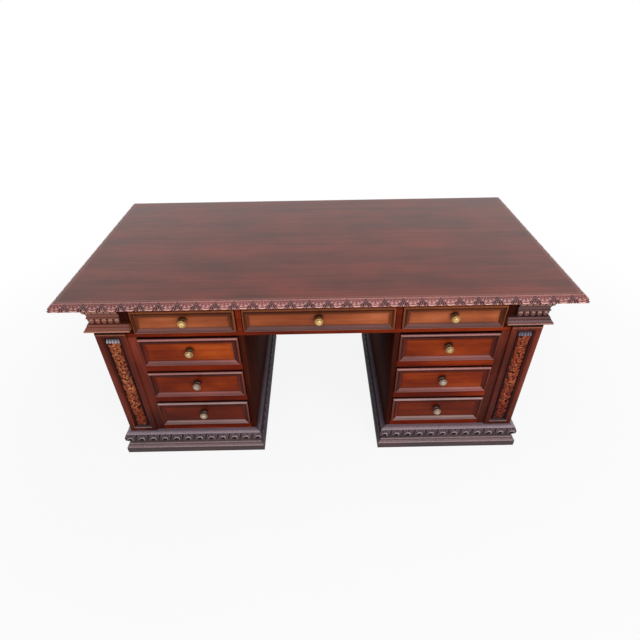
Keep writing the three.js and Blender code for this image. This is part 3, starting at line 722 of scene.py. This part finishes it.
KNOB_PROFILE = [(0, 0), (0, 0), (9.3, 0), (9.3, 0), (9.3, 1.4), (8.4, 2.4), (6.8, 3), (6.8, 3), (6, 4.6),
                (5.6, 7.5), (5.9, 10.2), (5.9, 10.2), (7.3, 10.8), (8, 12.2), (7.3, 13.6), (6.2, 14.2),
                (6.2, 14.2), (7.4, 15.4), (11, 16.8), (14.2, 18.4), (15.5, 20.4), (15, 22.4), (13, 23.8),
                (13, 23.8), (11.8, 23.9), (10.8, 24.4), (10.8, 24.4), (10.2, 26.4), (8, 28.8), (4.6, 30.5),
                (0, 31)]
# Patina on the collar and waist, and the ring under the head left bright as a painted highlight.
KNOB_TARNISH_AND_HIGHLIGHT = ((0.0095, 0.0105, 0.0138, 0.0146, 0.0168, 0.0185, 0.0240, 0.0250),
                (0.9, 0, 0, 0.8, 0.8, 0.62, 0.62, 0))
# The painted shadow of a knob's head: how far above it, how wide, and the grid that carries it.
KNOB_SHADOW_RISE, KNOB_SHADOW_REACH, KNOB_SHADOW_GRID = 0.008, 0.022, 0.004
KNOB_TURNS = 40


def drawer_front(name, middle_x, low, width, height, knob_z, rim_wear_and_highlight):
    """The moulding's four sides and the flat field inside them. The quirks and the edge of the field are
    painted dark as dirt and shade, most on the upper half, and the outer edge dark as shade in the gap.
    The outer arris is painted pale as wear and highlight, most on the upper half, and a dark patch over
    the knob is painted as the shadow and reflection of its head."""
    profile = through(FRONT_PROFILE, 3)
    mesh = bmesh.new()
    hollow, worn = shade_and_wear_layers(mesh)
    rings = []
    for inset, out in profile:
        half = width / 2 - inset
        levels = (low + inset, low + (height - inset))
        ring = [mesh.verts.new((middle_x + sx * half, -CORE_Y - out, levels[end]))
                for sx, end in ((-1, 0), (1, 0), (1, 1), (-1, 1))]
        # Upper half: quirks painted darker as shade, arris paler as highlight; outer edge dark as the gap's
        # shade.
        dirt_and_shade = max(deepest * ridge(inset - place, reach) for place, reach, deepest in FRONT_QUIRKS)
        rubbed_and_lit = rim_wear_and_highlight * ridge(inset - RIM_CREST, 0.0024) * (out > RIM_FOOT)
        for vert in ring:
            upper = vert.co.z > low + height / 2
            vert[hollow] = 0.9 if out < RIM_FOOT and inset < 0.001 else dirt_and_shade * (1 if upper else 0.55)
            vert[worn] = rubbed_and_lit * (1 if upper else 0.33)
        rings.append(ring)
    for near, far, (inset, out) in zip(rings, rings[1:], profile):
        for k in range(4):
            face = mesh.faces.new((near[k], near[(k + 1) % 4], far[(k + 1) % 4], far[k]))
            face.material_index = int(inset < MOULDING_WIDTH - 1e-5)
            # Bottom bevels and pedestal top arrises take the pale finish, as dust and painted sheen.
            low_dust_and_sheen = k == 0 and LOW_LEDGE[0] < inset < LOW_LEDGE[1]
            top_dust_and_highlight = k == 2 and rim_wear_and_highlight < 0.5 and TOP_LEDGE[0] < inset < TOP_LEDGE[1]
            if low_dust_and_sheen or top_dust_and_highlight:
                face.material_index = 2
    mesh.faces.new(rings[0][::-1])
    mesh.faces.new(rings[-1])
    # A dark patch over each knob is painted as the shadow and reflection of its head.
    for k in range(-6, 7):
        cut_at(mesh, (middle_x + KNOB_SHADOW_GRID * k, 0, 0), (1, 0, 0))
        cut_at(mesh, (0, 0, knob_z + KNOB_SHADOW_RISE + KNOB_SHADOW_GRID * k), (0, 0, 1))
    for vert in mesh.verts:
        away = math.hypot(vert.co.x - middle_x, (vert.co.z - knob_z - KNOB_SHADOW_RISE) * 1.1)
        if vert.co.y > -CORE_Y - FIELD_PROUD and away < KNOB_SHADOW_REACH:
            vert[hollow] = max(vert[hollow], 0.9 * (1 - step_up(away, 0.35 * KNOB_SHADOW_REACH, KNOB_SHADOW_REACH)))
    return finished(close_up(mesh), name)


def front_grain(middle_x, low, width, height):
    """Upright grain on the two side mouldings, level grain on the rest."""
    def choose(centres):
        from_side = width / 2 - np.abs(centres[:, 0] - middle_x)
        from_end = height / 2 - np.abs(centres[:, 2] - low - height / 2)
        return np.where((from_side < from_end) & (from_side < MOULDING_WIDTH), 2, 0)
    return choose


def turned_knob(name, x, y, z):
    """The knob's profile turned once round its axis, which points out of the drawer."""
    mesh = bmesh.new()
    hollow = mesh.verts.layers.float.new("hollow")
    rings = []
    for radius, out in through(KNOB_PROFILE):
        tarnish_and_highlight = np.interp(out, *KNOB_TARNISH_AND_HIGHLIGHT)
        turns = [2 * math.pi * k / KNOB_TURNS for k in range(KNOB_TURNS if radius > 1e-6 else 1)]
        ring = [mesh.verts.new((x + radius * math.cos(t), y - out, z + radius * math.sin(t))) for t in turns]
        rings.append(ring)
        for vert in ring:
            vert[hollow] = float(tarnish_and_highlight)
    for near, far in zip(rings, rings[1:]):
        for k in range(KNOB_TURNS):
            n = (k + 1) % KNOB_TURNS
            corners = [near[k % len(near)], near[n % len(near)], far[n % len(far)], far[k % len(far)]]
            mesh.faces.new(dict.fromkeys(corners))
    return finished(close_up(mesh), name)


def aged_brass(name, bright, tarnished):
    """Turned brass, dulled by age in patches of about 6 mm, bright where hands rub it, with lathe lines.
    Real ones are about 0.3 mm apart, too fine to show, and these are 1.1 mm apart."""
    material, tree, shader = new_material(name)
    place = add(tree, "ShaderNodeTexCoord", {}, {}).outputs["Object"]
    patches = add(tree, "ShaderNodeTexNoise", {}, {"Vector": place, "Scale": 160, "Detail": 3}).outputs["Fac"]
    tarnish_and_highlight = add(tree, "ShaderNodeMapRange", {}, {
        "Value": patches, "From Min": 0.42, "From Max": 0.72, "To Min": 0, "To Max": 0.7}).outputs[0]
    tarnish_and_highlight_map = add(tree, "ShaderNodeAttribute", {"attribute_name": "hollow"}, {}).outputs["Fac"]
    tarnish_and_highlight = add(tree, "ShaderNodeMath", {"operation": "MAXIMUM"}, {0: tarnish_and_highlight, 1: tarnish_and_highlight_map}).outputs[0]
    colour = add(tree, "ShaderNodeMix", {"data_type": "RGBA"}, {
        0: tarnish_and_highlight, 6: linear(bright), 7: linear(tarnished)}).outputs[2]
    tree.links.new(colour, shader.inputs["Base Color"])
    gloss = add(tree, "ShaderNodeMapRange", {}, {
        "Value": patches, "From Min": 0.3, "From Max": 0.7, "To Min": 0.34, "To Max": 0.5}).outputs[0]
    tree.links.new(gloss, shader.inputs["Roughness"])
    lathe = add(tree, "ShaderNodeVectorMath", {"operation": "MULTIPLY"}, {
        0: place, 1: (0, 900, 0)}).outputs[0]
    lines = add(tree, "ShaderNodeTexNoise", {}, {"Vector": lathe, "Scale": 1, "Detail": 1}).outputs["Fac"]
    bump = add(tree, "ShaderNodeBump", {}, {"Height": lines, "Strength": 0.15, "Distance": 0.0003})
    tree.links.new(bump.outputs["Normal"], shader.inputs["Normal"])
    shader.inputs["Metallic"].default_value = 1
    return material


# Bare oak is pale and dull, the brass painted yellowest on the frieze and greyer below as a reflection
# of the floor, and the fields darken from row to row.
drawer_lining = mahogany("planed_oak_lining", "#8f6c42", "#b08c5c", "#c4a374", 0.62, 0.3)
knob_brass = {"frieze": aged_brass("turned_aged_brass", "#f4cc88", "#6a4a26"),
              "upper": aged_brass("dull_aged_brass", "#d6b684", "#5c4836"),
              "centre": aged_brass("grey_aged_brass", "#c0ac98", "#594a40")}
knob_brass["lower"] = knob_brass["centre"]
frieze_band = mahogany("faded_moulding_mahogany", "#4c1d0c", "#6a3014", "#83421f", 0.24, 0.1, worn="#c07648")
pedestal_band = mahogany("polished_moulding_mahogany", "#3e1208", "#54180c", "#6c2212", 0.24, 0.1,
                         worn="#c07c5e")
# Bottom bevels and pedestal top arrises, painted pale as dust and a painted sheen.
ledge_mahogany = {
    "frieze": mahogany("dusty_frieze_mahogany", "#4e241c", "#653228", "#7a4034", 0.3, 0.55, worn="#d8a494"),
    "upper": mahogany("dusty_ledge_mahogany", "#68342e", "#82443e", "#9a5650", 0.3, 0.55, worn="#d8a49a"),
    "lower": mahogany("dusty_low_ledge_mahogany", "#6a4c48", "#82625e", "#987874", 0.34, 0.55,
                      worn="#d0b2ae"),
}
ledge_mahogany["centre"] = ledge_mahogany["upper"]
BOARD_ORDER = (1, 2, 0, 5, 4, 8, 6, 7, 3)
drawers = [("frieze", f"frieze_drawer_{place}") for place in ("left", "middle", "right")]
drawers += [(row, f"{row}_drawer_{side}") for side in ("left", "right")
            for row in ("upper", "centre", "lower")]
field_mahogany = {row: mahogany(f"{row}_drawer_mahogany", *colours, 0.3, 0.07, streaky=0.4)
                  for row, colours in DRAWER_ROWS.items()}
for number, (row, drawer) in enumerate(drawers):
    low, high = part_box(f"{drawer}_front")
    place = ((low.x + high.x) / 2, low.z, high.x - low.x, high.z - low.z)
    knob_low, knob_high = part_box(f"{drawer}_knob")
    knob_z = (knob_low.z + knob_high.z) / 2
    band, rim_wear_and_highlight = (frieze_band, 0.6) if row == "frieze" else (pedestal_band, 0.3)
    front = drawer_front(f"{drawer}_front_panelled", *place, knob_z, rim_wear_and_highlight)
    lay_grain(front, front_grain(*place), 71 + BOARD_ORDER[number])
    set_in_place(front, [field_mahogany[row], band, ledge_mahogany[row]], drawer, "drawer_mahogany",
                 f"{drawer}_front")
    box = finished(rub_edges(copy_of(f"{drawer}_box")), f"{drawer}_box_planed")
    lay_grain(box, 1, 91 + number)
    set_in_place(box, [drawer_lining], drawer, "drawer_lining", f"{drawer}_box")
    knob = turned_knob(f"{drawer}_knob_turned", place[0], knob_high.y, knob_z)
    set_in_place(knob, [knob_brass[row]], drawer, "aged_brass", f"{drawer}_knob")


# Frieze under the top: its bottom board, top rail with partitions, ends with corner stiles, and back.
# The same polished mahogany as the case, screwed up into a frame that holds the three upper drawers. The
# stiles are painted dark in front as the shade under the top.
PARTITION_X, PARTITION_TOP = (0.266, 0.288), 0.7065


def partition_grain(centres):
    """The rail is level, and the partitions under it are upright at the front."""
    beside = (np.abs(centres[:, 0]) > PARTITION_X[0]) & (np.abs(centres[:, 0]) < PARTITION_X[1])
    return np.where(beside & (centres[:, 2] < PARTITION_TOP), 2, 0)


frieze_boards = [("frieze_bottom_board", 0), ("frieze_partition_frame", partition_grain),
                 ("frieze_end_left", 2), ("frieze_end_right", 2), ("frieze_back", 0)]
for number, (node, direction) in enumerate(frieze_boards):
    board = finished(rub_edges(copy_of(node)), f"{node}_board")
    lay_grain(board, direction, 111 + number)
    # The ends' front faces take the nearly black finish, painted as the shade under the top.
    for face in board.polygons:
        face.material_index = int("end" in node and face.normal.y < -0.7)
    set_in_place(board, [case_mahogany, dark_mahogany], "carcass", "mahogany", node)


# Capitals over the pilasters: a moulded foot, a row of rounded lobes, a hollow, and a flaring leaf band.
# Carved from one block of mahogany each, mitred at the corner, with the top of every lobe painted pale
# as a highlight and the recess behind the lobes dark as shade. The right one is painted darker as shade.
RETURN_Y = -0.300
FOOT_INNER_X, HEAD_INNER_X = 0.649, 0.678
FOOT_PROFILE = [(-8, 632), (-8, 632), (19.6, 632), (19.6, 632), (20, 635), (19.4, 637.6), (19.4, 637.6),
                (17.6, 638.2), (17.6, 638.2), (16, 641.6), (13, 645.4), (11.8, 647.6), (11.8, 647.6),
                (9.6, 648.4), (9.6, 648.4), (9, 652.4), (8, 653.8), (8, 653.8), (6.8, 657), (6.8, 657),
                (-8, 657), (-8, 657)]
FOOT_RIM = 0.019
HEAD_PROFILE = [(-8, 656.5), (-8, 656.5), (1, 656.5), (1, 656.5), (1, 678), (1, 678), (3.8, 679),
                (4.6, 681.4), (3.8, 683.6), (3.8, 683.6), (2.2, 684.4), (2.2, 684.4), (1.6, 690), (2.6, 696),
                (5, 700), (5, 700), (8, 702.6), (10.6, 710), (13, 718), (16.2, 728), (16.2, 728), (17, 732),
                (18.2, 740), (20, 752), (20, 752), (-8, 752), (-8, 752)]
HEAD_CARVED, HEAD_SHADED = (16, 20), (0.6562, 0.6785)
LEAF_REACH, FRONT_LEAVES, SIDE_LEAVES = 0.020, 6, 4
LOBE_RADII, LOBE_OUT = (0.0096, 0.0066, 0.0116), 0.001
LOBE_Z, LOBE_PITCH = 0.667, 0.0216


def leaf_band(u, v):
    """One upright leaf: raised in the middle, split by a vein, with a rounded tip that curls outwards."""
    tip = np.hypot(u / 0.44, np.maximum(v - 0.45, 0) / 0.52)
    leaf = 1 - step_up(tip, 0.78, 1.02)
    vein = ridge(u, 0.05) + 0.7 * ridge(np.abs(u) - 0.2 - 0.1 * v, 0.045)
    swell = np.sqrt(np.clip(1 - (u / 0.5) ** 2, 0, 1))
    cut = leaf * (0.0032 * swell - 0.0009 * vein + 0.001 * step_up(v, 0.5, 0.9)) - 0.0032
    # The ground and veins are painted dark as shade, and the leaves pale as a highlight.
    dirt_and_shade = np.clip(1 - leaf + 0.5 * vein * leaf, 0, 1)
    return cut, dirt_and_shade, np.clip(leaf * 0.7 - dirt_and_shade, 0, 1)


def corner_moulding(profile, sign, inner_x):
    """A plain moulding along the front and back along the side, mitred at the corner."""
    places = [(sign * inner_x, -BODY_Y, 0, -1), (sign * BODY_X, -BODY_Y, sign, -1),
              (sign * BODY_X, RETURN_Y, sign, 0)]
    mesh = bmesh.new()
    worn = mesh.verts.layers.float.new("worn")
    rings = [[mesh.verts.new((x + sx * out, y + sy * out, z)) for out, z in profile]
             for x, y, sx, sy in places]
    for ring in rings:
        for vert, (out, z) in zip(ring, profile):
            vert[worn] = 0.6 * (out > FOOT_RIM)
    skin_rings(mesh, rings)
    return close_up(mesh)


def lobe_row(sign):
    """Rounded lobes along the front of the block and round its corner."""
    whole = bmesh.new()
    worn = whole.verts.layers.float.new("worn")
    rx, ry, rz = LOBE_RADII
    marks = [(sign * (HEAD_INNER_X + (k + 0.5) * LOBE_PITCH), -BODY_Y - LOBE_OUT, rx, ry) for k in range(5)]
    marks += [(sign * (BODY_X + LOBE_OUT), -BODY_Y + (k + 0.5) * LOBE_PITCH, ry, rx) for k in range(2)]
    for x, y, across, out in marks:
        for vert in bmesh.ops.create_uvsphere(whole, u_segments=20, v_segments=14, radius=1)["verts"]:
            # The top of each lobe is painted pale as a highlight.
            vert[worn] = step_up(vert.co.z, 0.4, 0.8)
            flare = 1 + 0.18 * vert.co.z
            vert.co = (x + vert.co.x * across * flare, y + vert.co.y * out * flare, LOBE_Z + vert.co.z * rz)
    return whole


# The carving's high parts are painted pale as highlights and its hollows nearly black as shade.
capital_mahogany = {
    "left": mahogany("carved_capital_mahogany", "#481c10", "#662e1c", "#803c25", 0.25, 0.6,
                     hollow="#140706", worn="#cc8e70"),
    # The right capital's copy, painted darker as shade.
    "right": mahogany("dark_capital_mahogany", "#321314", "#4c2321", "#623230", 0.25, 0.6,
                      hollow="#0e0506", worn="#b88470"),
}
leaf_motif = carved_motif("leaf_motif", HEAD_PROFILE, HEAD_CARVED, leaf_band, shaded_heights=HEAD_SHADED, steps=14)
for side, sign in (("left", -1), ("right", 1)):
    finish = capital_mahogany[side]
    corner = (sign * BODY_X, -BODY_Y, 0)
    cuts = [None, corner][::sign]
    low, high = [(sign * x, -BODY_Y, 0) for x in (HEAD_INNER_X, BODY_X + LEAF_REACH)][::sign]
    front_run = carved_run(leaf_motif, finish, low, high, FRONT_LEAVES, (0, -1, 0), *cuts)
    low, high = [(sign * BODY_X, y, 0) for y in (-BODY_Y - LEAF_REACH, RETURN_Y)][::sign]
    side_run = carved_run(leaf_motif, finish, low, high, SIDE_LEAVES, (sign, 0, 0), *cuts[::-1])
    head = close_up(joined([front_run, side_run]))
    foot = corner_moulding(through(FOOT_PROFILE), sign, FOOT_INNER_X)
    capital = finished(joined([head, foot, lobe_row(sign)]), f"capital_{side}_carved")
    lay_grain(capital, round_the_case(-BODY_X, BODY_X, -BODY_Y, math.inf), 121)
    set_in_place(capital, [finish], "carcass", "mahogany", f"capital_{side}")


# Top: three wide boards glued edge to edge and French polished, with a carved edge planted round them.
# The edge is a row of swags, each veined over a rolled rim, and between them sheaves of dark flutes
# that spread round a bud. The rims are painted pink as wear and highlight, and the flutes dark as
# dirt and shade.
TOP_SIZE, BOARD_JOINT = (1.728, 0.872), 0.138
EDGE_WIDTH = 0.022
RIM_LINES = (0.003, 0.0065, 0.010)
EDGE_PROFILE = [(0, 752), (0, 752), (11, 752), (11, 752), (12.6, 753.6), (16.2, 755.4), (18.6, 756.8),
                (18.6, 756.8), (20.3, 759.4), (20.6, 762.6), (19.7, 766.4), (16.8, 770.6), (12.2, 774.6),
                (7.6, 777.4), (3.6, 779.2), (0.6, 780), (0.6, 780), (0, 780), (0, 780)]
EDGE_CARVED = (7, 15)
EDGE_COUNTS = {"front": 29, "right": 15, "back": 29, "left": 15}


def swag_and_sheaf(u, v):
    """A swag with a rolled lower rim, and on either side half a sheaf of blades, which springs from the
    top and spreads on both sides of a bud."""
    side = 0.5 - np.abs(u)
    spread = side / (0.03 + 0.3 * (1 - v) ** 1.2)
    sheaf = (1 - step_up(spread, 1.08, 1.2)) * (1 - step_up(v, 0.86, 0.92))
    blade = 0.5 - 0.5 * np.cos(spread * 4 * math.pi)
    bud = step_up(0.05 * (1 - v / 0.34) - side, -0.012, 0.012) * step_up(v, 0.02, 0.06)
    groove = sheaf * (1 - blade) ** 0.6 * (1 - bud) * (1 - 0.35 * step_up(spread, 0.8, 1.1))
    line = 0.11 + 0.1 * (u / 0.22) ** 2
    rim = ridge(v - line, 0.06) * (1 - sheaf)
    under = (1 - step_up(v, line - 0.15, line - 0.08)) * (1 - sheaf)
    inside = step_up(v, line + 0.08, line + 0.2) * (1 - step_up(v, 0.8, 0.88)) * (1 - sheaf)
    veins = (0.5 + 0.5 * np.cos(np.arctan2(u, 1.3 - v) * 24)) * (0.6 + 0.4 * np.cos(v * 30 + u * 9)) * inside
    band = step_up(v, 0.86, 0.92)
    low_part = 1 - step_up(v, 0.25, 0.6)
    cut = (-0.0012 + 0.0022 * rim + 0.0003 * inside - (0.0004 + 0.0006 * low_part) * veins
           - (0.0008 + 0.003 * low_part) * groove - 0.0006 * low_part * sheaf - 0.0018 * under + 0.0018 * bud
           + 0.0004 * band)
    # Flutes and veins painted dark as dirt and shade; rims, bud and blades pale as wear and highlight.
    dirt_and_shade = np.clip(1.2 * groove + 0.45 * veins + 0.3 * under + 0.25 * ridge(v - line - 0.13, 0.05)
                   * (1 - sheaf), 0, 1)
    veined = inside * (0.22 * (1 - veins) + 0.3 * ridge(v - line - 0.24, 0.1))
    bright = 1.1 * rim + 1.4 * bud + sheaf * blade ** 2 * (1 - 0.6 * v) + veined + 0.35 * band
    return cut, dirt_and_shade, np.clip(bright - dirt_and_shade, 0, 1)


# The top has the clearest gloss of all, and the rims of its edge are painted a pale pink, as wear and
# highlight.
top_mahogany = mahogany("polished_top_mahogany", "#62281b", "#7a3325", "#903d2e", 0.2, 0.38,
                        worn="#c08a78", streaky=0.52)
edge_mahogany = mahogany("carved_edge_mahogany", "#682a28", "#84403c", "#9c5450", 0.3, 0.45,
                         hollow="#100a1a", worn="#fcc4b4")
board = copy_of("top_board")
for joint_y in (-BOARD_JOINT, BOARD_JOINT):
    cut_at(board, (0, joint_y, 0), (0, 1, 0))
half_x, half_y = TOP_SIZE[0] / 2 - EDGE_WIDTH, TOP_SIZE[1] / 2 - EDGE_WIDTH
for inset in RIM_LINES:
    for way, half in (((1, 0, 0), half_x), ((0, 1, 0), half_y)):
        for sign in (1, -1):
            cut_at(board, Vector(way) * (half - inset) * sign, way)
# A dark line at the border and a pale one inside it are painted as a small bead's shade and highlight.
hollow, worn = shade_and_wear_layers(board)
for vert in board.verts:
    inset = min(half_x - abs(vert.co.x), half_y - abs(vert.co.y))
    vert[hollow] = 0.45 * (inset < RIM_LINES[0] / 2)
    vert[worn] = 0.45 * (abs(inset - RIM_LINES[1]) < 0.001)
board = finished(board, "top_board_polished")
lay_grain(board, 0, 131)
# The underside is painted nearly black as shade.
for face in board.polygons:
    face.material_index = int(face.normal.z < -0.9)
set_in_place(board, [top_mahogany, dark_mahogany], "carcass", "top_mahogany", "top_board")

edge_motif = carved_motif("swag_motif", EDGE_PROFILE, EDGE_CARVED, swag_and_sheaf, steps=40)
edges = zip(EDGE_COUNTS.items(), four_sides(-half_x, half_x, -half_y, half_y))
for number, ((side, count), (low, high, along, outward)) in enumerate(edges):
    start, end = low - along * EDGE_WIDTH, high + along * EDGE_WIDTH
    run = carved_run(edge_motif, edge_mahogany, start, end, count, outward, low, high)
    run = finished(close_up(run), f"top_moulding_{side}_carved")
    lay_grain(run, int(abs(along.y)), 141 + number)
    set_in_place(run, [edge_mahogany], "carcass", "top_mahogany", f"top_moulding_{side}")


# Studio: a pale floor that keeps the desk's soft shadow, a broad softbox overhead, a low one in front that
# the polish doesn't mirror, and the camera where the photograph was taken from.


def seen_directly(tree):
    """1 for what the camera sees straight, mirrored or through glass, 0 for the light that falls on things."""
    rays = add(tree, "ShaderNodeLightPath", {}, {}).outputs
    seen = rays["Is Camera Ray"]
    for ray in ("Is Glossy Ray", "Is Transmission Ray"):
        seen = add(tree, "ShaderNodeMath", {"operation": "ADD", "use_clamp": True}, {
            0: seen, 1: rays[ray]}).outputs[0]
    return seen


floor_mesh = bmesh.new()
bmesh.ops.create_grid(floor_mesh, x_segments=1, y_segments=1, size=150)
floor = put_in_scene("floor", finished(floor_mesh, "floor"))
floor_paint, tree, _ = new_material("pale_painted_floor")
tree.nodes.clear()
place = add(tree, "ShaderNodeTexCoord", {}, {}).outputs["Object"]
distance = add(tree, "ShaderNodeVectorMath", {"operation": "LENGTH"}, {0: place}).outputs["Value"]
far_off = add(tree, "ShaderNodeMapRange", {"interpolation_type": "SMOOTHSTEP"}, {
    "Value": distance, "From Min": 1.0, "From Max": 2.6}).outputs[0]
lifted = add(tree, "ShaderNodeMath", {"operation": "MULTIPLY_ADD"}, {0: far_off, 1: 0.12, 2: 0.88}).outputs[0]
share = add(tree, "ShaderNodeMath", {"operation": "MULTIPLY"}, {0: lifted, 1: seen_directly(tree)}).outputs[0]
grit = add(tree, "ShaderNodeTexNoise", {}, {"Vector": place, "Scale": 40, "Detail": 2}).outputs["Fac"]
paint = add(tree, "ShaderNodeMix", {"data_type": "RGBA"}, {
    0: grit, 6: linear("#f6f6f5"), 7: linear("#fafafa")}).outputs[2]
painted = add(tree, "ShaderNodeBsdfDiffuse", {}, {"Color": paint}).outputs[0]
white = add(tree, "ShaderNodeEmission", {}, {"Color": (1, 1, 1, 1), "Strength": 1}).outputs[0]
surface = add(tree, "ShaderNodeMixShader", {}, {0: share, 1: painted, 2: white}).outputs[0]
add(tree, "ShaderNodeOutputMaterial", {}, {"Surface": surface})
floor.data.materials.append(floor_paint)

world = bpy.data.worlds.new("studio")
world.use_nodes = True
bpy.context.scene.world = world
tree = world.node_tree
tree.nodes.clear()
dim = add(tree, "ShaderNodeBackground", {}, {"Color": linear("#eef2fb"), "Strength": 0.34}).outputs[0]
bright = add(tree, "ShaderNodeBackground", {}, {"Color": (1, 1, 1, 1), "Strength": 1}).outputs[0]
mixed = add(tree, "ShaderNodeMixShader", {}, {0: seen_directly(tree), 1: dim, 2: bright}).outputs[0]
add(tree, "ShaderNodeOutputWorld", {}, {"Surface": mixed})


def softbox(name, place, aim, width, height, power, colour):
    lamp = bpy.data.lights.new(name, "AREA")
    lamp.shape, lamp.size, lamp.size_y, lamp.energy = "RECTANGLE", width, height, power
    lamp.color = linear(colour)[:3]
    box = put_in_scene(name, lamp)
    box.location = place
    box.rotation_euler = (Vector(aim) - Vector(place)).to_track_quat("-Z", "Y").to_euler()
    box.visible_camera = False
    return box


softbox("overhead_softbox", (0.5, -2.7, 3.5), (0, 0, 0.6), 4.5, 2.4, 80, "#f2f5ff")
softbox("front_softbox", (1.7, -4.1, 1.0), (0, 0, 0.5), 2.6, 1.6, 70, "#fff6ec").visible_glossy = False

LENS, SENSOR = 25.406, 36
EYE = Vector((-0.00189, -1.60984, 1.57196))
YAW, PITCH, ROLL = math.radians(0.25), math.radians(36.21), math.radians(0.9)
look = Vector((math.sin(YAW) * math.cos(PITCH), math.cos(YAW) * math.cos(PITCH), -math.sin(PITCH)))
level = Vector((math.cos(YAW), -math.sin(YAW), 0))
upright = level.cross(look)
right = level * math.cos(ROLL) - upright * math.sin(ROLL)
up = level * math.sin(ROLL) + upright * math.cos(ROLL)
lens = bpy.data.cameras.new("camera")
lens.lens, lens.sensor_width, lens.sensor_fit = LENS, SENSOR, "HORIZONTAL"
lens.clip_start, lens.clip_end = 0.05, 400
camera = put_in_scene("camera", lens)
camera.location = EYE
camera.rotation_mode = "QUATERNION"
camera.rotation_quaternion = Matrix((right, up, -look)).transposed().to_quaternion()
bpy.context.scene.camera = camera
bpy.context.scene.view_settings.view_transform = "Standard"
